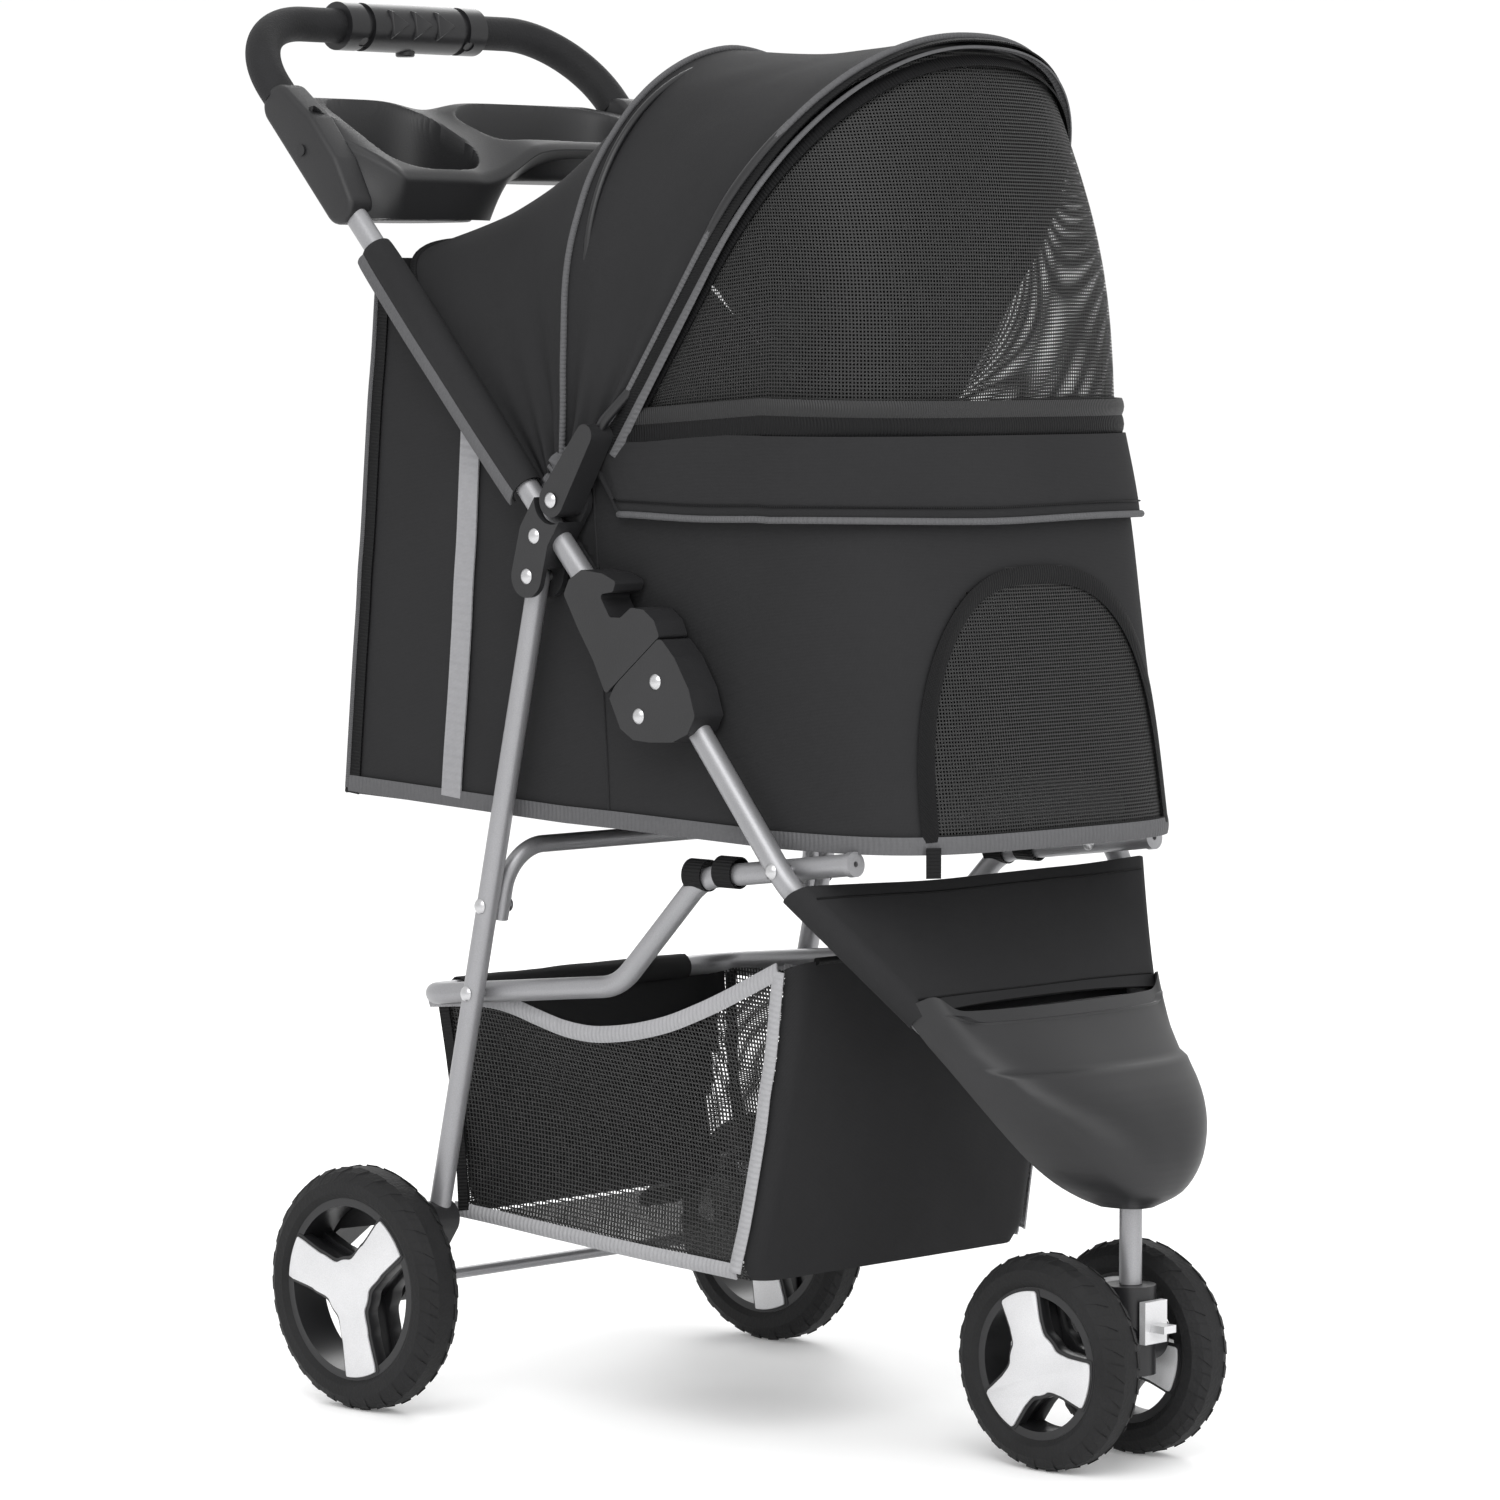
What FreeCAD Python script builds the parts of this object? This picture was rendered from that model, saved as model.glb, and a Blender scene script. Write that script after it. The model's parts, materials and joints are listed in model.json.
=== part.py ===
import FreeCAD, Part
import math
import os

# Folding three-wheel pet stroller, in millimetres.
# +Z is up, the front is -Y and X = 0 is the plane of symmetry.
# The origin is on the ground, at the middle of the stroller's length.

# ---- overall sizes -------------------------------------------------------
LENGTH = 756.0              # front of the front wheels to the back of the grip
BAR_HEIGHT = 967.0          # push bar axis above the ground
WHEELBASE = 492.0           # front axle to rear axle
SIDE_X = 166.0              # side tubes and rear legs, from the middle plane
CABIN_HALF = 150.0          # outside of the cabin's side panels

# ---- wheels --------------------------------------------------------------
REAR_WHEEL_R = 84.0
REAR_WHEEL_W = 34.0
REAR_WHEEL_X = 204.0
FRONT_WHEEL_R = 71.0
FRONT_WHEEL_W = 32.0
FRONT_WHEEL_X = 44.0
TYRE_SECTION = 20.5         # tread to the inside of the tyre
RIM_WALL = 5.5
HUB_R = 15.0
SPOKE_W = 26.0
SPOKE_T = 12.0
AXLE_R = 4.0
TRAIL = 32.6                # caster axis ahead of the front axle
STEM_R = 7.5

# ---- frame tubes ---------------------------------------------------------
TUBE_R = 8.0
TUBE_WALL = 1.2
SBAR_R = 7.5
SBAR_X = 149.5
CROSS_R = 6.0
LEG_R = 7.5
FOAM_R = 12.5
GRIP_R = 17.5
UPPER_RAKE = 47.2           # upper side tubes above the horizontal, degrees
LOWER_RAKE = 50.3           # lower side tubes
BAR_CORNER_R = 66.0
FRONT_BEND_R = 70.0
FORK_END = (45.0, 18.0, 205.0)   # lower tube's end: X, behind the stem, Z

# ---- pivots, along the upper tube from the bar and behind its axis --------
HOOP_PIVOT_AT = (474.4, -20.9)
BRACKET_RIVET_AT = (480.8, 8.2)
LEG_PIVOT_AT = (495.9, 32.3)
FOLD_PIVOT_AT = (636.3, 13.1)
UPPER_TUBE_END = 590.0
TONGUE_ROOT = 604.0
FOLD_ANGLE = 130.0          # the upper frame turns this far forward and down
# ---- and along the lower tube from the fold pivot ------------------------
LOWER_OFFSET = -27.2
SBAR_PIVOT_ALONG = -148.7
LOWER_BEND_ALONG = -165.0
LOWER_TUBE_TOP = 15.0
LATCH_RIVET_ALONG = 8.0

# ---- rear legs and the seat bar that carries cabin and basket ------------
LEG_RAKE = 12.93            # rear legs from the vertical, degrees
LEG_LENGTH = 473.0
LEG_TO_SBAR = 297.0         # leg pivot to the seat bar's pivot
CROSSBAR_RIVET = 234.0      # leg pivot to the crossbar's rivet
CROSSBAR_TOP = 394.0
SBAR_FRONT_SLOPE = 7.1
SBAR_REAR_SLOPE = 5.9
SBAR_NOSE = 49.0
SBAR_FRONT_ARM = 87.0
SBAR_REAR_ARM = 127.0
SBAR_TAIL = 74.0
SBAR_BEND_R = 45.0
SBAR_CORNER_R = 30.0

# ---- fits and gaps -------------------------------------------------------
RUNNING = 0.05              # radial clearance of a pin in its hole
FIT = 0.02                  # radial clearance of a fixed plug, sleeve or socket
SEAT = 0.3                  # gap between pieces that only rest together
RIVET_R = 3.0
RIVET_HEAD_R = 5.2
RIVET_HEAD_T = 2.2
PIVOT_R = 4.0

# ---- hinge brackets and latches ------------------------------------------
BRACKET_HALF = 12.5         # half the bracket's thickness across the tube
LATCH_IN = 12.5             # latch from the tube's axis inwards
LATCH_OUT = 14.5
LOBE_R = 14.5
SOCKET_LOBE_R = 11.5
POCKET_HALF = 8.3           # half the slot that the leg's top turns in
TONGUE_T = 8.0
TONGUE_R = 12.5
SEAM_HEADING = math.radians(51.5)
SEAM_AHEAD = 29.6           # latch seam from the fold pivot
SEAM_UP = 49.0              # seam's ends, to each side of its middle
SEAM_DOWN = 16.0
BRACKET_BORE = (400.0, 560.0)    # the bracket's bore along the upper tube
SLIDE_BORE = (500.0, 640.0)      # and the slide's
PLUG_IN = 26.0              # latch plug into the end of the upper tube

# ---- fabric --------------------------------------------------------------
CLOTH = 2.4
MESH_T = 1.4
FLOOR_Z = 408.0
FLOOR_RISE = 14.0           # rear edge of the floor above its front edge
ZIP_Z = 694.0
NOSE_BOTTOM = 283.0         # cabin's front from the origin at the floor
NOSE_TOP = 237.0            # and at the zip
CORNER_DEPTH = 110.0        # side panels' front edges behind the nose
CORNER_R = 86.0             # rounded front corners
CABIN_REAR_BOTTOM = 258.0
CABIN_REAR_TOP = (222.0, 800.0)
CANOPY_HALF = 157.6
HOOP_TILT = 35.5            # front hoop ahead of the vertical, degrees
HOOP_LENGTH = 371.0
HOOP_R = 3.6
HOOP_ROOT = 34.0            # hoop's end above its pivot, in the socket
HOOP_FOOT = 58.0            # top of the socket
HOOP_SHOULDER = 92.0        # above this the hoop has drawn in to the cloth
HOOP_BEND_R = 14.0
REAR_HOOP_TILT = 2.5
REAR_HOOP_LENGTH = 303.0
REAR_HOOP_R = 2.5
REAR_HOOP_FOOT = 63.0
CANOPY_REAR_LENGTH = 244.0
CANOPY_REAR_R = 62.0
CANOPY_FOOT = 46.0
ARCH_R = 150.0              # round top of both arches
DOOR_HALF = 116.0
DOOR_BOTTOM = 421.0
DOOR_TOP = 586.0
DOOR_ARCH_R = 98.0
FLAP_DROP = 74.0
FLAP_T = 4.0
FLAP_BACK = 95.0
PAD_T = 18.0
BOARD_T = 3.5
BOARD_LIFT = 2.6            # board above the cloth floor's edge
BOARD_INSET = 10.0          # board behind the cabin's nose
PAD_INSET = 14.0
REAR_INSET = (5.0, 10.0)    # board and pad, ahead of the rear door
BASKET_BOTTOM_FRONT = (-122.0, 112.0)
BASKET_BOTTOM_REAR = (164.0, 131.0)
BASKET_TOP_FRONT = (-157.0, 335.0)
BASKET_DIP = (28.0, 272.0)

# ---- tray ----------------------------------------------------------------
TRAY_Z = 908.0
TRAY_DEPTH = 74.0
TRAY_WALL = 3.0
TRAY_Y = 268.0
TRAY_HALF_Y = 54.0
RIM_DROP = 16.0
POCKET_DEPTH = 44.0
CUP_X = -88.0
CUP_HALF = (42.0, 38.0)
POCKET_X = 56.0
POCKET_SIZE = (64.0, 40.0)
TRAY_SCREW = 128.0          # bar to the tray screws, along the tube
GRIP_HALF = 62.0
GRIP_SCREW_X = 52.0
SCREW_R = 4.0
COLLAR = 5.0                # grip's collars over the ends of the foam
COLLAR_W = 12.0
PALM_END = 18.0             # swollen middle of the grip, from its ends
GRIP_STEP = 2.5
BUTTON_R = 7.0
BUTTON_H = 8.0
BUTTON_TRAVEL = 4.0
FOAM_END = 76.0             # foam below the bar's axis, along the side tube
CUP_R = 30.0
POCKET_R = 26.0
RIM_R = 36.0
CHEEK = (98.0, 176.0)       # tray's cheeks along the side tubes
CHEEK_R = (17.0, 14.0)

# ---- fork cover and caster -----------------------------------------------
COVER_SECTIONS = (
    # height, half width, back, front
    (302.4, 114.6, -268.0, -292.0),
    (266.2, 99.4, -284.0, -340.0),
    (228.0, 80.0, -300.0, -368.0),
    (198.0, 52.0, -312.0, -370.0),
    (176.0, 22.0, -322.0, -362.0),
)
COVER_WALL = 3.0
COVER_SHAPE = 2.6           # fullness of the cover's bow
STEM_UP = 38.0              # top of the stem's socket above the tubes' ends
BOSS_R = 14.0
YOKE = (13.0, 30.0, 34.0)   # yoke beyond the tubes, its depth and height
STEM_PIN_R = 5.0
STEM_PIN = 34.0
CASTER_TOP = 121.0
CASTER_LOW = 62.0
CASTER_HEAD_R = 17.0
BOSS_FACE = 10.0            # radius of the bosses that meet the wheels
LOCK_LOW = 84.0
LOCK_HIGH = 112.0
LOCK_W = 22.0
LOCK_T = 5.0
LOCK_TAB = 12.0

# ---- axle shoes and brakes -----------------------------------------------
SHOE_IN = 9.0               # shoe from the leg's axis inwards
SHOE_OUT = 11.0
SHOE_R = 13.0
BRAKE_UP = (13.0, 48.0)     # brake pivot behind and above the rear axle
BRAKE_BEND = (48.0, 41.0)
BRAKE_TIP = (82.0, 16.0)
WHEEL_GAP = 1.5
AXLE_END = 4.0              # axle ends inside the wheels' faces
REAR_SPOKE = 17.0           # first spoke's heading, degrees
FRONT_SPOKE = 72.0

# ---- derived -------------------------------------------------------------
FRONT_AXLE_Y = -LENGTH / 2 + FRONT_WHEEL_R
REAR_AXLE_Y = FRONT_AXLE_Y + WHEELBASE
BAR_Y = LENGTH / 2 - GRIP_R
STEM_Y = FRONT_AXLE_Y - TRAIL
COS_UP = math.cos(math.radians(UPPER_RAKE))
SIN_UP = math.sin(math.radians(UPPER_RAKE))
COS_LOW = math.cos(math.radians(LOWER_RAKE))
SIN_LOW = math.sin(math.radians(LOWER_RAKE))
BRAKE_PIVOT = (REAR_AXLE_Y + BRAKE_UP[0], REAR_WHEEL_R + BRAKE_UP[1])
CASTER_HALF = FRONT_WHEEL_X - FRONT_WHEEL_W / 2 - WHEEL_GAP

V = FreeCAD.Vector


def on_upper(along, behind):
    """(y, z) of a place along the upper tube from the bar, and behind its axis."""
    return (BAR_Y - along * COS_UP + behind * SIN_UP,
            BAR_HEIGHT - along * SIN_UP - behind * COS_UP)


HOOP_PIVOT = on_upper(*HOOP_PIVOT_AT)
BRACKET_RIVET = on_upper(*BRACKET_RIVET_AT)
LEG_PIVOT = on_upper(*LEG_PIVOT_AT)
FOLD_PIVOT = on_upper(*FOLD_PIVOT_AT)


def on_lower(along, behind):
    """(y, z) of a place along the lower tube from the fold pivot, and behind it."""
    return (FOLD_PIVOT[0] + along * COS_LOW + behind * SIN_LOW,
            FOLD_PIVOT[1] + along * SIN_LOW - behind * COS_LOW)


def on_leg(along, behind=0.0):
    """(y, z) of a place down the rear leg from its pivot, and behind its axis."""
    cos_leg = math.cos(math.radians(LEG_RAKE))
    sin_leg = math.sin(math.radians(LEG_RAKE))
    return (LEG_PIVOT[0] + along * sin_leg + behind * cos_leg,
            LEG_PIVOT[1] - along * cos_leg + behind * sin_leg)


SBAR_PIVOT = on_lower(SBAR_PIVOT_ALONG, LOWER_OFFSET)
LATCH_RIVET = on_lower(LATCH_RIVET_ALONG, LOWER_OFFSET)
LEG_SBAR_PIVOT = on_leg(LEG_TO_SBAR)


# ---- general shapes ------------------------------------------------------
def save(name, shape):
    """Writes one node."""
    shape.exportStep("parts/" + name + ".step")


def mirrored(shape):
    """The same piece on the other side of the stroller."""
    return shape.mirror(V(0, 0, 0), V(1, 0, 0))


def save_pair(name, shape):
    """Writes a right-hand piece and its mirror image on the left (-X)."""
    save(name + "_right", shape)
    save(name + "_left", mirrored(shape))


def join(shapes):
    """One solid out of several that touch."""
    return shapes[0].fuse(shapes[1:]).removeSplitter()


def group(shapes):
    """Separate solids that share a node."""
    return Part.makeCompound(shapes)


def rounded_path(points, radii):
    """Straight runs joined by tangent arcs: radii has one value per inner point."""
    edges = []
    start = points[0]
    for before, corner, after, radius in zip(points, points[1:], points[2:], radii):
        back = (before - corner).normalize()
        ahead = (after - corner).normalize()
        half_turn = (math.pi - back.getAngle(ahead)) / 2
        reach = radius * math.tan(half_turn)
        first = corner + back * reach
        last = corner + ahead * reach
        middle = corner + (back + ahead).normalize() * (radius / math.cos(half_turn) - radius)
        edges.append(Part.LineSegment(start, first).toShape())
        edges.append(Part.Arc(first, middle, last).toShape())
        start = last
    edges.append(Part.LineSegment(start, points[-1]).toShape())
    return Part.Wire(edges)


def sweep(points, radii, radius):
    """A solid rod along a rounded path."""
    path = rounded_path(points, radii)
    direction = points[1] - points[0]
    ring = Part.Wire(Part.makeCircle(radius, points[0], direction))
    return path.makePipeShell([ring], True, True)


def tube(points, radii, radius, wall):
    """A hollow tube along a rounded path."""
    return sweep(points, radii, radius).cut(sweep(points, radii, radius - wall))


def rod_x(place, radius, low, high):
    """A cylinder across the stroller at (y, z), from X = low to X = high."""
    return Part.makeCylinder(radius, high - low, V(low, place[0], place[1]), V(1, 0, 0))


def prism_x(outline, low, high, radius=0.0):
    """A (y, z) outline drawn out from X = low to X = high, its corners rounded."""
    points = [V(low, y, z) for y, z in outline]
    face = Part.Face(Part.makePolygon(points + points[:1]))
    solid = face.extrude(V(high - low, 0, 0))
    if not radius:
        return solid
    along_x = [e for e in solid.Edges if abs(e.tangentAt(e.FirstParameter).x) > 0.99]
    return solid.makeFillet(radius, along_x)


def link_x(first, second, radius_1, radius_2, low, high):
    """A bar with round ends, seen along X: the hull of two circles."""
    dy = second[0] - first[0]
    dz = second[1] - first[1]
    length = math.hypot(dy, dz)
    lean = math.asin((radius_1 - radius_2) / length)
    heading = math.atan2(dz, dy)
    corners = []
    for centre, radius, side in (
        (first, radius_1, 1), (second, radius_2, 1), (second, radius_2, -1), (first, radius_1, -1),
    ):
        angle = heading + side * (math.pi / 2 - lean)
        corners.append((centre[0] + radius * math.cos(angle), centre[1] + radius * math.sin(angle)))
    return join([
        prism_x(corners, low, high),
        rod_x(first, radius_1, low, high),
        rod_x(second, radius_2, low, high),
    ])


def rivet(place, low, high, radius=RIVET_R):
    """A rivet across X with a domed head at each end."""
    parts = [rod_x(place, radius, low, high)]
    for x, way in ((low, -1), (high, 1)):
        head = Part.makeSphere(RIVET_HEAD_R * 1.25, V(0, 0, 0))
        depth = math.sqrt((RIVET_HEAD_R * 1.25) ** 2 - RIVET_HEAD_R ** 2)
        keep = Part.makeCylinder(RIVET_HEAD_R * 2, RIVET_HEAD_R * 2, V(depth, 0, 0), V(1, 0, 0))
        dome = head.common(keep)
        dome.translate(V(-depth, 0, 0))
        if way < 0:
            dome = mirrored(dome)
        dome.translate(V(x, place[0], place[1]))
        parts.append(dome)
    return join(parts)


def along_upper(start, end, radius):
    """A cylinder on the right upper tube's axis between two distances from the bar."""
    y, z = on_upper(start, 0)
    return Part.makeCylinder(radius, end - start, V(SIDE_X, y, z), V(0, -COS_UP, -SIN_UP))


def bow(half, depth, exponent, count=25):
    """Points (x, d) of half a superellipse, from one foot over the top to the other."""
    points = []
    for i in range(count):
        turn = math.pi * i / (count - 1)
        c = math.cos(turn)
        s = math.sin(turn)
        x = half * math.copysign(abs(c) ** (2 / exponent), c)
        points.append((x, depth * max(s, 0.0) ** (2 / exponent)))
    return points


def curve(points):
    """A smooth edge through points."""
    spline = Part.BSplineCurve()
    spline.interpolate(points)
    return spline.toShape()


def u_wire(place, half, depth, radius, start=0.0):
    """A closed U with rounded corners; place turns (x, d) into a point."""
    near = radius * (1 - math.sqrt(0.5))
    right = [(half, start), (half, depth - radius), (half - near, depth - near), (half - radius, depth)]
    p = [place(x, d) for x, d in right]
    q = [place(-x, d) for x, d in right]
    return Part.Wire([
        Part.LineSegment(p[0], p[1]).toShape(),
        Part.Arc(p[1], p[2], p[3]).toShape(),
        Part.LineSegment(p[3], q[3]).toShape(),
        Part.Arc(q[3], q[2], q[1]).toShape(),
        Part.LineSegment(q[1], q[0]).toShape(),
        Part.LineSegment(q[0], p[0]).toShape(),
    ])


def u_shell(sections, thick):
    """Cloth stretched over U-shaped sections of (place, half, depth, radius, start)."""
    outer = []
    inner = []
    for place, half, depth, radius, start in sections:
        outer.append(u_wire(place, half, depth, radius, start))
        inner.append(u_wire(place, half - thick, depth - thick, radius - thick, start - 1.0))
    return Part.makeLoft(outer, True, True).cut(Part.makeLoft(inner, True, True))


def in_plane(base, tilt, ahead=0.0):
    """Maps (x, d) into a plane that stands on (y, z) and tilts forward by tilt degrees."""
    sin_tilt = math.sin(math.radians(tilt))
    cos_tilt = math.cos(math.radians(tilt))

    def place(x, d):
        return V(x, base[0] - ahead * cos_tilt - d * sin_tilt, base[1] - ahead * sin_tilt + d * cos_tilt)

    return place


def level(z, back):
    """Maps (x, d) into a level plane, with d running forwards from back."""
    return lambda x, d: V(x, back - d, z)


def nose_at(z):
    """How far ahead of the origin the cabin's front stands at a height."""
    share = (z - FLOOR_Z) / (ZIP_Z - FLOOR_Z)
    return -(NOSE_BOTTOM + (NOSE_TOP - NOSE_BOTTOM) * share)


# ---- lower frame: the body that everything else moves against ------------
def front_tube():
    """Lower side tube, from the latch down, bending inwards to the fork cover."""
    top = on_lower(LOWER_TUBE_TOP, LOWER_OFFSET)
    bend = on_lower(LOWER_BEND_ALONG, LOWER_OFFSET)
    end = V(FORK_END[0], STEM_Y + FORK_END[1], FORK_END[2])
    points = [V(SIDE_X, *top), V(SIDE_X, *bend), end]
    body = tube(points, [FRONT_BEND_R], TUBE_R, TUBE_WALL)
    hole = rod_x(SBAR_PIVOT, PIVOT_R + RUNNING, SIDE_X - 2 * TUBE_R, SIDE_X + 2 * TUBE_R)
    rivet_hole = rod_x(LATCH_RIVET, RIVET_R, SIDE_X - 2 * TUBE_R, SIDE_X + 2 * TUBE_R)
    return body.cut([hole, rivet_hole])


def cover_wire(section, inset):
    """A level section of the fork cover, a bow in front and a straight back."""
    height, half, back, front = section
    points = [V(x, back - d, height) for x, d in bow(half - inset, back - front - inset, COVER_SHAPE)]
    return Part.Wire([curve(points), Part.LineSegment(points[-1], points[0]).toShape()])


def fork_cover():
    """Moulded shield over the ends of the lower tubes, with a boss for the stem."""
    shell = Part.makeLoft([cover_wire(s, 0.0) for s in COVER_SECTIONS], True, False)
    core = Part.makeLoft([cover_wire(s, COVER_WALL) for s in COVER_SECTIONS], True, False)
    core.translate(V(0, COVER_WALL + 0.4, 1.0))
    shell = shell.cut(core)
    low = COVER_SECTIONS[-1][0]
    socket = FORK_END[2] + STEM_UP
    boss = Part.makeCylinder(BOSS_R, socket - low, V(0, STEM_Y, low), V(0, 0, 1))
    beyond, depth, height = YOKE
    yoke = Part.makeBox(2 * (FORK_END[0] + beyond), depth, height,
                        V(-FORK_END[0] - beyond, STEM_Y + 2, FORK_END[2] - TUBE_R))
    body = join([shell, boss, yoke])
    stem_hole = Part.makeCylinder(STEM_R + FIT, socket - low, V(0, STEM_Y, low - 4.0), V(0, 0, 1))
    top = on_lower(LOWER_BEND_ALONG, LOWER_OFFSET)
    end = V(FORK_END[0], STEM_Y + FORK_END[1], FORK_END[2])
    run = V(SIDE_X, *top) - end
    sleeve = Part.makeCylinder(TUBE_R + FIT, run.Length, end, run)
    return body.cut([stem_hole, sleeve, mirrored(sleeve)])


def caster_stem():
    """Steel stem held in the fork cover, on which the caster turns."""
    top = FORK_END[2] + STEM_UP - 4.0
    pin_low = CASTER_TOP - STEM_PIN
    stem = Part.makeCylinder(STEM_R, top - CASTER_TOP - 2 * SEAT, V(0, STEM_Y, CASTER_TOP + SEAT))
    pin = Part.makeCylinder(STEM_PIN_R, CASTER_TOP - pin_low + 2 * SEAT, V(0, STEM_Y, pin_low))
    return join([stem, pin])


def front_panel():
    """Fabric panel sewn over the front of the two lower tubes."""
    top = V(SIDE_X, *on_lower(LOWER_BEND_ALONG - 6, LOWER_OFFSET))
    end = V(FORK_END[0], STEM_Y + FORK_END[1], FORK_END[2])
    run = end - top
    across = V(1, 0, 0)
    low = top + run * 0.46
    outward = V(0, run.z, -run.y).normalize()
    if outward.y > 0:
        outward = outward * -1.0
    lift = outward * (TUBE_R + SEAT)
    edge = across * (TUBE_R + 1.0)
    right = [top + lift + edge, low + lift + edge]
    left = [V(-p.x, p.y, p.z) for p in right]
    face = Part.Face(Part.makePolygon([right[0], right[1], left[1], left[0], right[0]]))
    return face.extrude(outward * CLOTH)


def on_seam(across, ahead=0.0):
    """(y, z) beside the latch's seam: across it forwards, and beyond it."""
    cos_seam = math.cos(SEAM_HEADING)
    sin_seam = math.sin(SEAM_HEADING)
    reach = SEAM_AHEAD + ahead
    return (FOLD_PIVOT[0] + reach * cos_seam - across * sin_seam,
            FOLD_PIVOT[1] + reach * sin_seam + across * cos_seam)


def about_fold(y, z):
    """(y, z) of a place given from the fold pivot."""
    return (FOLD_PIVOT[0] + y, FOLD_PIVOT[1] + z)


def turned(place, degrees):
    """(y, z) of a place after turning it about the fold pivot."""
    angle = math.radians(degrees)
    y = place[0] - FOLD_PIVOT[0]
    z = place[1] - FOLD_PIVOT[1]
    return about_fold(y * math.cos(angle) - z * math.sin(angle),
                      y * math.sin(angle) + z * math.cos(angle))


def tongue_slot(low, high):
    """Room for the tongue of the upper tube through the whole fold."""
    root = on_upper(TONGUE_ROOT, 0)
    far = on_upper(TONGUE_ROOT - 70.0, 0)
    steps = 5
    wedge = [FOLD_PIVOT]
    wedge += [turned(far, -FOLD_ANGLE * i / steps) for i in range(steps + 1)]
    wide = TONGUE_R + 1
    narrow = TUBE_R + 1
    return join([
        link_x(FOLD_PIVOT, root, wide, narrow, low, high),
        link_x(FOLD_PIVOT, turned(root, -FOLD_ANGLE), wide, narrow, low, high),
        prism_x(wedge, low, high),
    ])


def latch_lower():
    """Lower half of the folding latch: two cheeks and a socket for the lower tube."""
    arc = [on_seam(0, -SEAT)]
    for turn in (-10, -20, -30):
        arc.append(turned(arc[0], turn))
    outline = [
        on_seam(SEAM_UP, -SEAT), about_fold(-34, 40), about_fold(-47, 20),
        about_fold(-53, 2), about_fold(-46, -10), about_fold(-32, -16),
        about_fold(-10, -17), about_fold(5, -16), about_fold(17, -9),
    ] + arc[::-1]
    low = SIDE_X - LATCH_IN
    high = SIDE_X + LATCH_OUT
    body = prism_x(outline, low, high)
    ends = [e for e in body.Edges if abs(e.tangentAt(e.FirstParameter).x) > 0.99]
    far = [e for e in ends if e.CenterOfMass.sub(V(SIDE_X, *FOLD_PIVOT)).Length > SEAM_AHEAD + 5]
    body = body.makeFillet(5.0, far)
    slot = tongue_slot(SIDE_X - TONGUE_T / 2 - SEAT, SIDE_X + TONGUE_T / 2 + SEAT)
    y, z = on_lower(LOWER_TUBE_TOP, LOWER_OFFSET)
    socket = Part.makeCylinder(TUBE_R + FIT, 90.0, V(SIDE_X, y, z), V(0, -COS_LOW, -SIN_LOW))
    pin = rod_x(FOLD_PIVOT, PIVOT_R, low, high)
    rivet_hole = rod_x(LATCH_RIVET, RIVET_R, low, high)
    return body.cut([slot, socket, pin, rivet_hole])


def latch_pins():
    """Fold pivot pins and latch rivets of both sides."""
    low = SIDE_X - LATCH_IN
    high = SIDE_X + LATCH_OUT
    right = [rivet(FOLD_PIVOT, low, high, PIVOT_R), rivet(LATCH_RIVET, low, high)]
    return group(right + [mirrored(r) for r in right])


def sbar_rivets():
    """Pivot rivets of the seat bar in the lower tubes, both sides."""
    right = rivet(SBAR_PIVOT, SBAR_X - SBAR_R, SIDE_X + TUBE_R, PIVOT_R)
    return group([right, mirrored(right)])


# ---- upper frame ---------------------------------------------------------
def handle_tube():
    """One bent tube: both upper side tubes and the push bar between them."""
    end = on_upper(UPPER_TUBE_END, 0)
    points = [
        V(SIDE_X, *end), V(SIDE_X, BAR_Y, BAR_HEIGHT),
        V(-SIDE_X, BAR_Y, BAR_HEIGHT), V(-SIDE_X, *end),
    ]
    return tube(points, [BAR_CORNER_R, BAR_CORNER_R], TUBE_R, TUBE_WALL)


def foam():
    """Foam sleeve from the grip round the corner and down the side tube."""
    low = on_upper(FOAM_END, 0)
    points = [V(SIDE_X, *low), V(SIDE_X, BAR_Y, BAR_HEIGHT), V(GRIP_HALF + COLLAR, BAR_Y, BAR_HEIGHT)]
    return tube(points, [BAR_CORNER_R], FOAM_R, FOAM_R - TUBE_R - FIT)


def grip():
    """Moulded grip at the middle of the bar, with a collar at each end."""
    body = rod_x((BAR_Y, BAR_HEIGHT), GRIP_R - GRIP_STEP, -GRIP_HALF, GRIP_HALF)
    pieces = [body]
    for x in (-GRIP_HALF - COLLAR, GRIP_HALF - COLLAR_W):
        pieces.append(rod_x((BAR_Y, BAR_HEIGHT), GRIP_R, x, x + COLLAR_W + COLLAR))
    pieces.append(rod_x((BAR_Y, BAR_HEIGHT), GRIP_R, -GRIP_HALF + PALM_END, GRIP_HALF - PALM_END))
    solid = join(pieces)
    bore = rod_x((BAR_Y, BAR_HEIGHT), TUBE_R + FIT, -GRIP_HALF - 2 * COLLAR, GRIP_HALF + 2 * COLLAR)
    down = V(0, 0, -1)
    well = Part.makeCylinder(BUTTON_R + SEAT, GRIP_R, V(0, BAR_Y, BAR_HEIGHT - TUBE_R), down)
    solid = solid.cut([bore, well])
    for x in (-GRIP_SCREW_X, GRIP_SCREW_X):
        solid = solid.cut(Part.makeCylinder(
            SCREW_R + 0.2, GRIP_R, V(x, BAR_Y, BAR_HEIGHT), V(0, -SIN_UP, -COS_UP)))
    return solid


def grip_button():
    """Button under the grip."""
    top = BAR_HEIGHT - TUBE_R - BUTTON_TRAVEL - SEAT
    body = Part.makeCylinder(BUTTON_R, BUTTON_H, V(0, BAR_Y, top - BUTTON_H), V(0, 0, 1))
    return body.makeFillet(1.5, [body.Edges[2]])


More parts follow.
